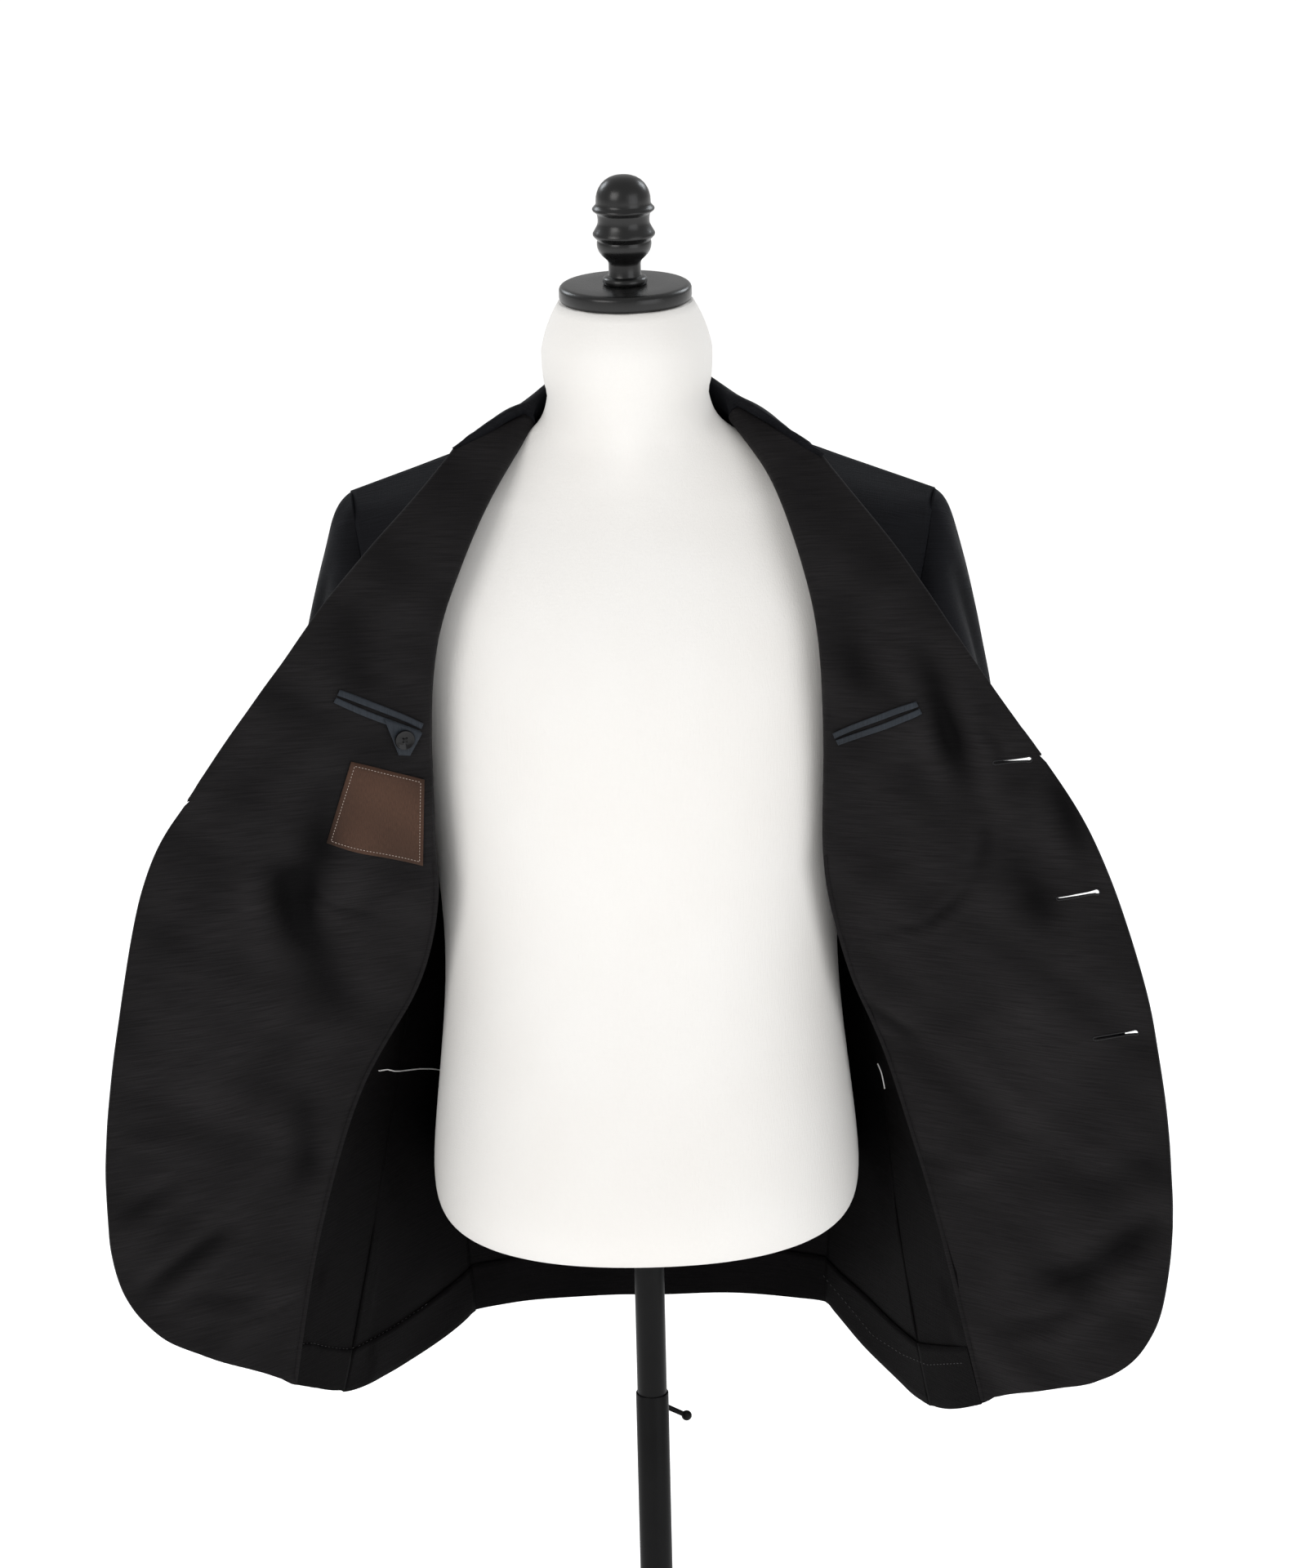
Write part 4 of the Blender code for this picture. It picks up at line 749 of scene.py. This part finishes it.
def creaseRound(mesh, middleX, middleY, form, folds, mirrored):
    # the same creases pushed towards an upright middle line, for cloth that goes round something
    points = readPoints(mesh)
    radius = form["radius"]
    moving, still = form["still"]
    nearSeam = np.clip((np.abs(points[:, 0]) / mm - moving) / (still - moving), 0, 1)
    nearSeam *= np.clip((points[:, 2] / mm - armhole["from"]) / armhole["over"], 0, 1)
    outX, outY = points[:, 0] - middleX(points[:, 2]), points[:, 1] - middleY(points[:, 2])
    reach = np.maximum(np.hypot(outX, outY), 1e-6)
    turn = np.arctan2(outY, -outX if mirrored else outX)
    flatPoints = np.stack([turn * radius, points[:, 2]], axis=1)
    sink = np.zeros(len(points))
    for crease in folds:
        line = [(radians(angle) * radius / mm, height) for angle, height in crease["line"]]
        sink += creaseDepth(flatPoints, dict(crease, line=line))
    slack = np.sin(turn * radius * 2 * pi / 0.09 + 3 * np.sin(points[:, 2] * 23)) * slackCloth["height"]
    sink = (sink + slack) * (1 - nearSeam)
    points[:, 0] -= outX / reach * sink
    points[:, 1] -= outY / reach * sink
    writePoints(mesh, points)
    markPaintedCreaseShade(mesh, sink)


def creaseBody():
    for name, panel in panels.items():
        if name.startswith(("back", "side", "hem_back", "hem_side")):
            creaseRound(panel.data, np.zeros_like, np.zeros_like, bodyForm, bodyFolds, False)


def creaseSleeves():
    heights, outs, backs = (np.array(sleeveForm[k]) * mm for k in ("height", "out", "back"))
    for name, panel in panels.items():
        if "sleeve" not in name:
            continue
        side, further = (1, sleeveForm["leftFurther"] * mm) if name.endswith("left_worn") else (-1, 0)

        def middleX(z, side=side, further=further):
            return side * (np.interp(z, heights, outs) + further)

        def middleY(z):
            return np.interp(z, heights, backs)

        creaseRound(panel.data, middleX, middleY, sleeveForm, sleeveFolds, side < 0)


for side in halves:
    creaseWing(side)
    drawInLapel(side)
    sagHem(side)
    easeFront(side)
    liftSleeveHead(f"top_sleeve_{side}")
creaseBody()
creaseSleeves()
for name in jetNames:
    shapeJet(name)
print("blazer: creases placed")


# Buttonholes, cut through the wearer's left front and its facing, with a stitched edge on both sides
buttonholes = {
    "ends": (((262, 1063), (286, 1066)), ((307, 959), (335, 967)), ((336, 851), (364, 859))),
    "slit": 1.3 * mm,
    "eye": 1.7 * mm,
    "through": 24 * mm,
    "thread": 0.42 * mm,
    "edge": 0.75 * mm,
    "steps": 24,  # corners of the round eye
    "slitFrom": cos(radians(55)),  # corners further back than this are drawn out into the slit
}


def onCloth(tree, x, z, fromFront=True):
    # the nearest place on the cloth and its outward direction, looking along Y
    way = 1 if fromFront else -1
    hit, normal = tree.ray_cast(Vector((x, -0.6 * way, z)), Vector((0, way, 0)))[:2]
    return (hit, normal if normal.y * way < 0 else -normal) if hit else (None, None)


def holeFrame(tree, ends):
    (x0, z0), (x1, z1) = ((x * mm, z * mm) for x, z in ends)
    inner, outer = onCloth(tree, x0, z0)[0], onCloth(tree, x1, z1)[0]
    out = onCloth(tree, (x0 + x1) / 2, (z0 + z1) / 2)[1]
    along = (outer - inner).normalized()
    across = out.cross(along).normalized()
    return inner, outer, along, across, along.cross(across).normalized()


def cutButtonholes(names):
    tree = treeOf(panels["facing_left_worn"].data)
    slitFrom = buttonholes["slitFrom"]
    work = bmesh.new()
    for ends in buttonholes["ends"]:
        inner, outer, along, across, out = holeFrame(tree, ends)
        length = (outer - inner).length
        made = bmesh.ops.create_cone(
            work, cap_ends=True, segments=buttonholes["steps"], radius1=buttonholes["eye"],
            radius2=buttonholes["eye"], depth=buttonholes["through"],
        )
        for vert in made["verts"]:
            back = -vert.co.x / buttonholes["eye"]
            if back > slitFrom:
                share = (back - slitFrom) / (1 - slitFrom)
                sidewards = 0 if abs(vert.co.y) < 0.01 * mm else vert.co.y / abs(vert.co.y)
                vert.co.x = -buttonholes["eye"] * 0.8 - share**0.4 * (length - buttonholes["eye"] * 0.8)
                vert.co.y = sidewards * buttonholes["slit"] / 2 * (1 - 0.35 * share)
        turn = Matrix((along, across, out)).transposed().to_4x4()
        bmesh.ops.transform(work, matrix=Matrix.Translation(outer) @ turn, verts=made["verts"])
    cutter = addObject("holeCutter", fromBmesh("holeCutter", work))
    for name in names:
        cutAway(panels[name], cutter, "MANIFOLD")
        print("blazer: holes cut in", name, "leaving", len(panels[name].data.vertices), "points")
    bpy.data.objects.remove(cutter)


def threadTube(name, lines, radius, material, closed=False):
    # round threads along lists of points, as one mesh
    curve = bpy.data.curves.new(name, "CURVE")
    curve.dimensions = "3D"
    curve.bevel_depth = radius
    curve.bevel_resolution = 2
    curve.use_fill_caps = not closed
    for line in lines:
        spline = curve.splines.new("POLY")
        spline.points.add(len(line) - 1)
        for point, place in zip(spline.points, line):
            point.co = (*place, 1)
        spline.use_cyclic_u = closed
    drawn = addObject(name, curve)
    mesh = bpy.data.meshes.new_from_object(drawn.evaluated_get(bpy.context.evaluated_depsgraph_get()))
    bpy.data.objects.remove(drawn)
    return showPiece(name, mesh, material, "cloth_black")


def edgeButtonholes():
    lines = []
    facing = treeOf(nodes["facing_left_worn"].data)
    slit, eye = buttonholes["slit"] / 2 + buttonholes["edge"], buttonholes["eye"] + buttonholes["edge"]
    for name, fromFront in (("facing_left_worn", True), ("front_left_worn", False)):
        tree = treeOf(panels[name].data)
        for ends in buttonholes["ends"]:
            inner, outer, along, across, out = holeFrame(facing, ends)
            length = (outer - inner).length
            outline = [(t * length, slit) for t in (0.0, 0.2, 0.4, 0.6, 0.8)]
            turns = np.linspace(radians(130), radians(-130), 12)
            outline += [(length + eye * cos(turn), eye * sin(turn)) for turn in turns]
            outline += [(t * length, -slit) for t in (0.8, 0.6, 0.4, 0.2, 0.0)]
            outline += [(-slit * 0.9, -slit * 0.5), (-slit * 0.9, slit * 0.5)]
            line = []
            for u, v in outline:
                spot = inner + along * u + across * v
                hit, way, index, gap = tree.find_nearest(spot + out * (2 * mm if fromFront else -6 * mm))
                line.append(hit + (out if fromFront else -out) * buttonholes["thread"] * 0.5)
            lines.append(line)
    return threadTube("buttonholeThread", lines, buttonholes["thread"], darkThread, True)


cutButtonholes(("facing_left_worn", "front_left_worn"))
edgeButtonholes()
print("blazer: buttonholes cut")


# Sewn lines and bindings that lie on the inside of the jacket, each seen from the front as (x, z)
sewing = {
    "labelLine": ((-206.5, 1067.5), (-159.5, 1049.5), (-163, 986.5), (-226.5, 1009.5), (-206.5, 1067.5)),
    "labelPitch": 2.5, "labelStitch": 1.7, "labelThread": 0.28,
    "bindingBetween": {"right_worn": (560, 985), "left_worn": (525, 985)},
    "bindingWide": 3.4, "bindingThick": 0.4, "bindingLift": 0.2, "bindingInset": 1.5, "bindingPitch": 5.0,
    "bindingSwell": 0.35,
}


def evenOut(values, rounds):
    for _ in range(rounds):
        values[1:-1] = (values[:-2] + 2 * values[1:-1] + values[2:]) / 4
    return values


def spacedPlaces(points, pitch):
    # evenly spaced places along a line through the given points, in metres
    given = np.array(points, float) * mm
    run = np.concatenate([[0], np.cumsum(np.linalg.norm(np.diff(given, axis=0), axis=1))])
    places = np.linspace(0, run[-1], max(2, ceil(run[-1] / (pitch * mm))) + 1)
    return np.stack([np.interp(places, run, column) for column in given.T], axis=1)


def spacedLine(points, pitch):
    # the same along a rounded line
    return evenOut(spacedPlaces(points, pitch), 3 if len(points) > 5 else 1)


def addStitch(work, a, b, normal, stitch, thread, lift=0.0):
    # a raised oval between two places on the cloth
    along = (b - a).normalized()
    across = normal.cross(along).normalized()
    turn = Matrix((along, across, along.cross(across))).transposed().to_4x4()
    size = Matrix.Diagonal((stitch / 2 * mm, thread * mm, thread * mm, 1))
    place = Matrix.Translation((a + b) / 2 + normal * lift * mm)
    bmesh.ops.create_uvsphere(work, u_segments=6, v_segments=5, radius=1.0, matrix=place @ turn @ size)


def sewLabel():
    tree = treeOf(panels["label"].data)
    work = bmesh.new()
    pitch, stitch, thread = (sewing[key] for key in ("labelPitch", "labelStitch", "labelThread"))
    for corners in zip(sewing["labelLine"][:-1], sewing["labelLine"][1:]):
        line = spacedLine(corners, pitch)
        for here, after in zip(line[:-1], line[1:]):
            a, normal = onCloth(tree, *here)
            b = onCloth(tree, *after)[0]
            if a is not None and b is not None and (b - a).length <= 3 * pitch * mm:
                addStitch(work, a, b, normal, stitch, thread, thread * 0.4)
    return showPiece("labelStitches", fromBmesh("labelStitches", work), labelThread, "label_brown")


def clothStack(side):
    # all cloth of one half that is seen from the front, nearest first
    trees = [treeOf(panels[f"{name}_{side}"].data) for name in ("facing", "front", "hem_front")]

    def nearest(x, z):
        hits = [onCloth(tree, x, z)[0] for tree in trees]
        hits = [hit for hit in hits if hit is not None]
        return min(hits, key=lambda hit: hit.y) if hits else None

    return nearest


def facingEdge(side):
    # the facing's inner edge seen from the front, from its top down
    way = 1 if side == "right_worn" else -1
    low, high = (height * mm for height in sewing["bindingBetween"][side])
    heights = np.arange(low, high, 2 * mm)
    inner = way * outlineReach([f"facing_{side}"], heights, 2, 0, way)
    middle = evenOut(inner - way * sewing["bindingInset"] * mm, 6)
    return np.stack([middle, heights], axis=1)[::-1] / mm


def bindEdge(name, side):
    # a narrow folded strip over the facing's inner edge
    nearest = clothStack(side)
    line = spacedLine(facingEdge(side), sewing["bindingPitch"])
    half = sewing["bindingWide"] / 2 * mm
    asides, depths = [], []
    for k in range(len(line)):
        ahead = line[min(k + 1, len(line) - 1)] - line[max(k - 1, 0)]
        ahead /= np.linalg.norm(ahead)
        asides.append(np.array([ahead[1], -ahead[0]]))
        hits = [nearest(*(line[k] + asides[k] * half * s)) for s in (-1, 0, 1)]
        found = [hit.y for hit in hits if hit is not None]
        depths.append(min(found) if found else depths[-1])
    depths = evenOut(np.array(depths), 4)
    work = bmesh.new()
    bmesh.ops.create_grid(work, x_segments=len(line) - 1, y_segments=2, size=0.5)
    for vert in work.verts:
        k = round((vert.co.x + 0.5) * (len(line) - 1))
        off = vert.co.y * 2
        x, z = line[k] + asides[k] * half * off
        swell = (1 - abs(off)) * sewing["bindingSwell"] * mm
        vert.co = (x, depths[k] - sewing["bindingLift"] * mm - swell, z)
    bmesh.ops.recalc_face_normals(work, faces=work.faces)
    strip = showPiece(name, fromBmesh(name, work), insideCloth, "cloth_black")
    weaveMap(strip.data)
    thick = strip.modifiers.new("thick", "SOLIDIFY")
    thick.thickness = sewing["bindingThick"] * mm
    thick.offset = 0
    return smoothPiece(strip, 2)


bindings = {
    "right_worn": bindEdge("bindingRightWorn", "right_worn"),
    "left_worn": bindEdge("bindingLeftWorn", "left_worn"),
}
labelStitches = sewLabel()
print("blazer: label and bindings sewn")


# Buttons: a dished disc with a rim and four holes, crossed by thread, set where each solid button is
buttonForm = {
    "rim": 0.16,  # of the radius
    "dish": 0.25,  # of the thickness
    "holeOut": 0.24,
    "hole": 0.10,
    "steps": 40,
    "holeSides": 12,
}


def buttonPlace(nodeName):
    # middle of the underside, outward direction, radius and thickness of a solid button
    mesh = nodes[nodeName].data
    points = readPoints(mesh)
    areas = {}
    for face in mesh.polygons:
        key = tuple(round(c, 2) for c in face.normal)
        areas.setdefault(key, [0.0, Vector()])
        areas[key][0] += face.area
        areas[key][1] += face.normal * face.area
    caps = sorted(areas.values(), key=lambda cap: -cap[0])[:2]
    out = caps[1][1].normalized()
    heights = points @ np.array(out)
    centre = (points.max(axis=0) + points.min(axis=0)) / 2
    low, high = heights.min(), heights.max()
    base = Vector(centre) + out * (low - float(centre @ np.array(out)))
    radius = max((Vector(p) - base - out * (Vector(p) - base).dot(out)).length for p in points)
    return base, out, radius, high - low


def buttonBody(radius, thick):
    rim, dish = buttonForm["rim"] * radius, buttonForm["dish"] * thick
    profile = (
        (0.0, thick - dish), (radius - rim * 1.5, thick - dish), (radius - rim * 0.9, thick * 0.97),
        (radius - rim * 0.35, thick), (radius, thick * 0.72), (radius * 0.98, thick * 0.38),
        (radius * 0.86, 0.0), (0.0, 0.0),
    )
    turned = turnProfile(profile, buttonForm["steps"], 0.01 * mm)
    body = addObject("buttonBody", fromBmesh("buttonBody", turned))
    holes = bmesh.new()
    for k in range(4):
        angle = pi / 4 + k * pi / 2
        reach = radius * buttonForm["holeOut"]
        spot = (cos(angle) * reach, sin(angle) * reach, thick / 2)
        bmesh.ops.create_cone(
            holes, cap_ends=True, segments=buttonForm["holeSides"], radius1=radius * buttonForm["hole"],
            radius2=radius * buttonForm["hole"], depth=thick * 2, matrix=Matrix.Translation(spot),
        )
    cutter = addObject("holeCutter", fromBmesh("holeCutter", holes))
    mesh = cutAway(body, cutter, "EXACT").data
    bpy.data.objects.remove(cutter)
    bpy.data.objects.remove(body)
    return mesh


def buttonThread(work, place, radius, thick):
    # two crossed bundles over the holes and a short shank under the button
    reach = radius * buttonForm["holeOut"]
    dish = thick * (1 - buttonForm["dish"])
    for k in range(2):
        for offset in (-0.05, 0.05):
            turn = Matrix.Rotation(pi / 4 + k * pi / 2, 4, "Z")
            size = Matrix.Diagonal((reach * 1.25, radius * 0.05, radius * 0.07, 1))
            spot = Matrix.Translation((0, offset * radius, dish + radius * (0.03 + 0.05 * k)))
            bmesh.ops.create_uvsphere(
                work, u_segments=8, v_segments=6, radius=1.0, matrix=place @ turn @ spot @ size
            )
    bmesh.ops.create_cone(
        work, cap_ends=True, segments=10, radius1=radius * 0.22, radius2=radius * 0.18, depth=1.4 * mm,
        matrix=place @ Matrix.Translation((0, 0, -0.2 * mm)),
    )


def makeButtons():
    names = [name for name in nodes if "button" in name and name != "button_tab"]
    bodies = {}
    for name in names:
        base, out, radius, thick = buttonPlace(name)
        size = round(radius / mm * 2)
        if size not in bodies:
            bodies[size] = buttonBody(radius, thick)
        side = Vector((0, 0, 1)).cross(out).normalized()
        place = Matrix.Translation(base) @ Matrix((side, out.cross(side), out)).transposed().to_4x4()
        mesh = bodies[size].copy()
        mesh.transform(place)
        showPiece(f"horn_{name}", mesh, horn, "button_black", [name])
        mesh.set_sharp_from_angle(angle=radians(50))
        thread = bmesh.new()
        buttonThread(thread, place, radius, thick)
        showPiece(f"thread_{name}", fromBmesh(f"thread_{name}", thread), darkThread, "button_black")
    print("blazer:", len(names), "buttons made")


makeButtons()


# Threads and stitches that follow the cloth inside the jacket, through points on it in millimetres
insideLines = {
    "tackRightWorn": ((-207, -30, 799.5), (-200, -14, 794.5), (-195, -1, 788), (-190, 11, 783.5),
                      (-185, 22, 780), (-178, 34, 776.5), (-171, 46, 772), (-164, 58, 766)),
    "tackLeftWorn": ((184.0, -4, 786), (186, -7, 783), (186.5, -9, 779), (188.5, -9, 776), (187.5, -9, 772),
                     (189.5, -9, 767)),
    "hemRightWorn": ((-289, -94, 622), (-263, -69, 611), (-234, -22, 591), (-206, 22, 584), (-181, 55, 590)),
    "hemLeftWorn": ((142, 104, 563), (162, 78, 550), (180, 55, 540), (201, 21, 539), (219, -9, 543),
                    (244, -51, 559)),
}
snapReach = 24 * mm  # how far either side of its place the cloth under a stitch is looked for
insideSewing = {"tackRadius": 0.48, "tackLift": 0.9, "pitch": 5.0, "stitch": 2.6, "thread": 0.22}


def snapLine(names, points, pitch, lift):
    # evenly spaced places on the inside of the named panels, and the way that leads inwards there
    trees = [treeOf(panels[name].data) for name in names]
    line, loose = [], []
    for spot in spacedPlaces(points, pitch):
        inwards = Vector((-spot[0], -spot[1], 0)).normalized()
        start = Vector(spot) + inwards * snapReach
        found = [tree.ray_cast(start, -inwards, 2 * snapReach) for tree in trees]
        found = [hit for hit in found if hit[0] is not None]
        hit, normal = min(found or [tree.find_nearest(spot) for tree in trees], key=lambda hit: hit[3])[:2]
        normal = normal if normal.dot(inwards) > 0 else -normal
        (line if found else loose).append((hit + normal * lift * mm, normal))
    # places on the nearest cloth serve only a line that has hardly any of the others
    return line if len(line) > 3 else loose


def sewInside():
    for name, points in insideLines.items():
        side = "right_worn" if "Right" in name else "left_worn"
        if name.startswith("tack"):
            line = snapLine((f"front_{side}", f"side_{side}"), points, 3, insideSewing["tackLift"])
            thread = [place for place, normal in line]
            threadTube(name, [thread], insideSewing["tackRadius"] * mm, whiteThread)
            continue
        names = [f"hem_{part}_{side}" for part in ("front", "side", "back")]
        work = bmesh.new()
        sag = hemSag(np.array(points) * mm) / mm
        points = [(x, y, z - down) for (x, y, z), down in zip(points, sag)]
        line = snapLine(names, points, insideSewing["pitch"], insideSewing["thread"] * 0.3)
        for (a, normal), (b, _) in zip(line[:-1], line[1:]):
            if (b - a).length >= insideSewing["stitch"] * 0.5 * mm:
                addStitch(work, a, b, normal, insideSewing["stitch"], insideSewing["thread"])
        showPiece(name, fromBmesh(name, work), greyThread, "cloth_black")


sewInside()
print("blazer: inside lines sewn")


# The form: its cover is the torso's own surface, smoothed, and swollen a little below the neck cap
torsoCover = {
    "flowBetween": (1250, 1352),  # where the neck flows into the shoulders
    "flowSteps": 45,
    "neckSwell": (1322, 1391, 6.5),  # the padding swells below the cap: from, up to, by how much
    "swellRoundness": 0.55,
    "swellBack": (1.1, 1.6, 0.25),  # towards the back its share falls from this, by this, to this at least
    "core": 30,  # points nearer to the neck's middle than this stay
    "collarRoom": 0.8,
    "edgeAngle": radians(62),
}


def swellNeck(mesh):
    low, high, swell = (value * mm for value in torsoCover["neckSwell"])
    around = ["collar"] + [f"{part}_{side}" for part in ("facing", "front", "back") for side in halves]
    trees = [treeOf(panels[name].data) for name in around]
    points = readPoints(mesh)
    neck = np.nonzero((points[:, 2] > low) & (points[:, 2] < high))[0]
    middle = (points[neck, :2].max(axis=0) + points[neck, :2].min(axis=0)) / 2
    start, fall, least = torsoCover["swellBack"]
    for k in neck:
        out = Vector((*(points[k, :2] - middle), 0))
        if out.length < torsoCover["core"] * mm:
            continue
        rise = sin((points[k, 2] - low) / (high - low) * pi) ** torsoCover["swellRoundness"]
        reach = swell * rise * min(1.0, max(least, start - fall * out.normalized().y))
        hits = [tree.ray_cast(Vector(points[k]), out.normalized(), 2 * swell)[3] for tree in trees]
        room = min([hit for hit in hits if hit is not None], default=2 * swell)
        room = max(0.0, room - torsoCover["collarRoom"] * mm)
        points[k] += np.array(out.normalized()) * min(reach, room)
    writePoints(mesh, points)


def coverTorso():
    work = quadWall("torso")
    crease = work.edges.layers.float.new("crease_edge")
    for edge in work.edges:
        if len(edge.link_faces) == 2 and edge.calc_face_angle() > torsoCover["edgeAngle"]:
            edge[crease] = 1.0
    torso = showPiece("jerseyTorso", fromBmesh("jerseyTorso", work), jersey, "form_white", ["torso"])
    smoothPiece(torso, 2)
    work = bmesh.new()
    work.from_mesh(torso.data)
    low, high = (height * mm for height in torsoCover["flowBetween"])
    neck = [vert for vert in work.verts if low < vert.co.z < high]
    for _ in range(torsoCover["flowSteps"]):
        bmesh.ops.smooth_vert(work, verts=neck, factor=0.5, use_axis_x=True, use_axis_y=True, use_axis_z=True)
    work.to_mesh(torso.data)
    work.free()
    swellNeck(torso.data)
    return torso


torso = coverTorso()
print("blazer: form covered")


# Turned pieces of the stand: profiles (radius, height) in millimetres, spun about an upright axis
capTilt = Matrix.Translation((0, 0, 1.388)) @ Matrix.Rotation(radians(3), 4, "X")
turnedPieces = {
    "neck_cap": {
        "profile": ((0, 12.5), (30, 12.5), (44, 12.5), (46.2, 12.2), (47.6, 11.4), (48.6, 10.2), (49, 9.0),
                    (49, 3.4), (48.6, 2.2), (48.4, 1.4), (47.6, 0.8), (47, 0.3), (30, 0.3), (0, 0.3)),
        "place": capTilt, "material": blackWood, "slot": "cap_black", "body": "form",
    },
    "finial": {
        "profile": ((0, 93), (3.6, 92.8), (7.2, 92.1), (10.6, 90.8), (13.4, 89.0), (15.9, 86.6),
                    (17.9, 83.6), (19.2, 80.6), (20.0, 77.4), (20.2, 74.4), (20.2, 72.6), (20.7, 71.2),
                    (21.8, 69.9), (22.9, 68.7), (23.0, 68.0), (22.6, 67.2), (21.0, 66.0), (19.7, 64.8),
                    (19.5, 64.2), (19.2, 62.4), (19.0, 60.2), (19.1, 58.2), (19.6, 56.4), (20.6, 54.4),
                    (21.8, 52.2), (22.8, 50.6), (23.0, 49.8), (22.8, 48.8), (21.6, 47.4), (20.0, 45.8),
                    (19.6, 44.9), (20.0, 43.8), (20.1, 42.0), (19.8, 39.8), (18.9, 37.2), (17.2, 34.6),
                    (14.8, 32.2), (12.9, 30.4), (12.1, 29.0), (11.9, 27.0), (11.9, 19.6), (12.4, 18.6),
                    (14.2, 18.2), (15.6, 17.4), (16.4, 16.2), (16.4, 14.0), (15.8, 12.9), (0, 12.8)),
        "place": capTilt, "material": blackWood, "slot": "cap_black", "body": "form",
    },
    "pole": {
        "profile": ((0, 775), (11.0, 775), (11.8, 774.2), (11.8, 130.8), (11.0, 130), (0, 130)),
        "place": Matrix.Identity(4), "material": blackSteel, "slot": "stand_black", "body": "mast",
    },
    "lower_tube": {
        "profile": ((12.2, 509.4), (12.4, 509.9), (12.7, 510), (13.0, 509.5), (13.0, 8.6), (12.7, 8.3),
                    (12.2, 8.3), (12.2, 509.4)),
        "place": Matrix.Identity(4), "material": blackSteel, "slot": "stand_black", "body": "stand",
    },
    "base": {
        "profile": ((0, 8), (13.3, 8), (13.3, 37.4), (13.9, 38), (17.6, 38), (19.2, 36.8), (20.2, 34.6),
                    (21.4, 14), (22.6, 10.4), (25.5, 8.3), (30, 8), (160, 8), (164.5, 7.4), (168, 5.8),
                    (169.7, 3.6), (170, 1.6), (169.5, 0.4), (168.6, 0), (0, 0)),
        "place": Matrix.Identity(4), "material": blackSteel, "slot": "stand_black", "body": "stand",
    },
}
turnSteps = 72


def turnPiece(nodeName, piece):
    profile = [(x * mm, z * mm) for x, z in piece["profile"]]
    work = turnProfile(profile, turnSteps, 0.001 * mm)
    bmesh.ops.transform(work, matrix=piece["place"], verts=work.verts)
    mesh = fromBmesh(nodeName, work)
    showPiece(f"turned_{nodeName}", mesh, piece["material"], piece["slot"], [nodeName], piece["body"])
    mesh.set_sharp_from_angle(angle=radians(38))


for nodeName, piece in turnedPieces.items():
    turnPiece(nodeName, piece)

clampLever = {
    "height": 493.5, "lean": -27, "shank": (12.4, 16.5, 3.0), "hub": (14.5, 23.5, 5.0), "armRadius": 2.3,
    "armLong": 29, "ballAt": 30.5, "ball": 4.2,
}


def makeClamp():
    work = bmesh.new()
    upright = Matrix.Rotation(radians(-90), 4, "X")
    for start, end, radius in (clampLever["shank"], clampLever["hub"]):
        spot = (0, (start + end) / 2 * mm, clampLever["height"] * mm)
        bmesh.ops.create_cone(
            work, cap_ends=True, segments=32, radius1=radius * mm, radius2=radius * mm,
            depth=(end - start) * mm, matrix=Matrix.Translation(spot) @ upright,
        )
    rims = [edge for edge in work.edges if edge.calc_face_angle(0) > radians(60)]
    bmesh.ops.bevel(work, geom=rims, offset=0.5 * mm, segments=3, profile=0.5, affect="EDGES", material=-1)
    lean = radians(clampLever["lean"])
    arm = Vector((cos(lean), 0, sin(lean)))
    middle = Vector((0, sum(clampLever["hub"][:2]) / 2 * mm, clampLever["height"] * mm))
    turn = arm.to_track_quat("Z", "Y").to_matrix().to_4x4()
    half = clampLever["armLong"] / 2 * mm
    bmesh.ops.create_cone(
        work, cap_ends=True, segments=24, radius1=clampLever["armRadius"] * mm,
        radius2=clampLever["armRadius"] * mm * 0.9, depth=2 * half,
        matrix=Matrix.Translation(middle + arm * half) @ turn,
    )
    bmesh.ops.create_uvsphere(
        work, u_segments=32, v_segments=20, radius=clampLever["ball"] * mm,
        matrix=Matrix.Translation(middle + arm * clampLever["ballAt"] * mm) @ turn,
    )
    mesh = fromBmesh("clampLever", work)
    showPiece("clampLever", mesh, blackSteel, "stand_black", ["clamp_screw"], "clamp")
    mesh.set_sharp_from_angle(angle=radians(45))


makeClamp()
print("blazer: stand turned")


# Weave maps come last, when no panel changes shape any more
for name, panel in panels.items():
    if not panel.data.uv_layers:
        weaveMap(panel.data)


def declareCloth():
    sewnOn = {"label": [labelStitches]}
    for side in halves:
        jets = [panels[name] for name in jetNames if side in name]
        sewnOn[f"facing_{side}"] = jets + [bindings[side]]
    for name, (level, flat, area, material) in panelCuts.items():
        added = sewnOn.get(name, [])
        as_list(added)


declareCloth()


def layFloor():
    work = bmesh.new()
    bmesh.ops.create_grid(work, x_segments=8, y_segments=8, size=studio["floorReach"])
    floor = addObject("paleFloor", fromBmesh("paleFloor", work))
    material, tree, shader = newMaterial("paleFloor", studio["floorColour"], 0.75, Specular_IOR_Level=0.2)
    place = objectPlace(tree)
    shade = stretchedNoise(tree, place, (0.8, 0.8, 0.8), 2.0)
    shader.inputs["Emission Color"].default_value = (1, 1, 1, 1)
    shader.inputs["Emission Strength"].default_value = studio["floorGlow"]
    low = tuple(c * 0.985 for c in studio["floorColour"])
    tree.links.new(colourRamp(tree, shade, low, studio["floorColour"]), shader.inputs["Base Color"])
    floor.data.materials.append(material)


layFloor()
print("blazer: floor laid")
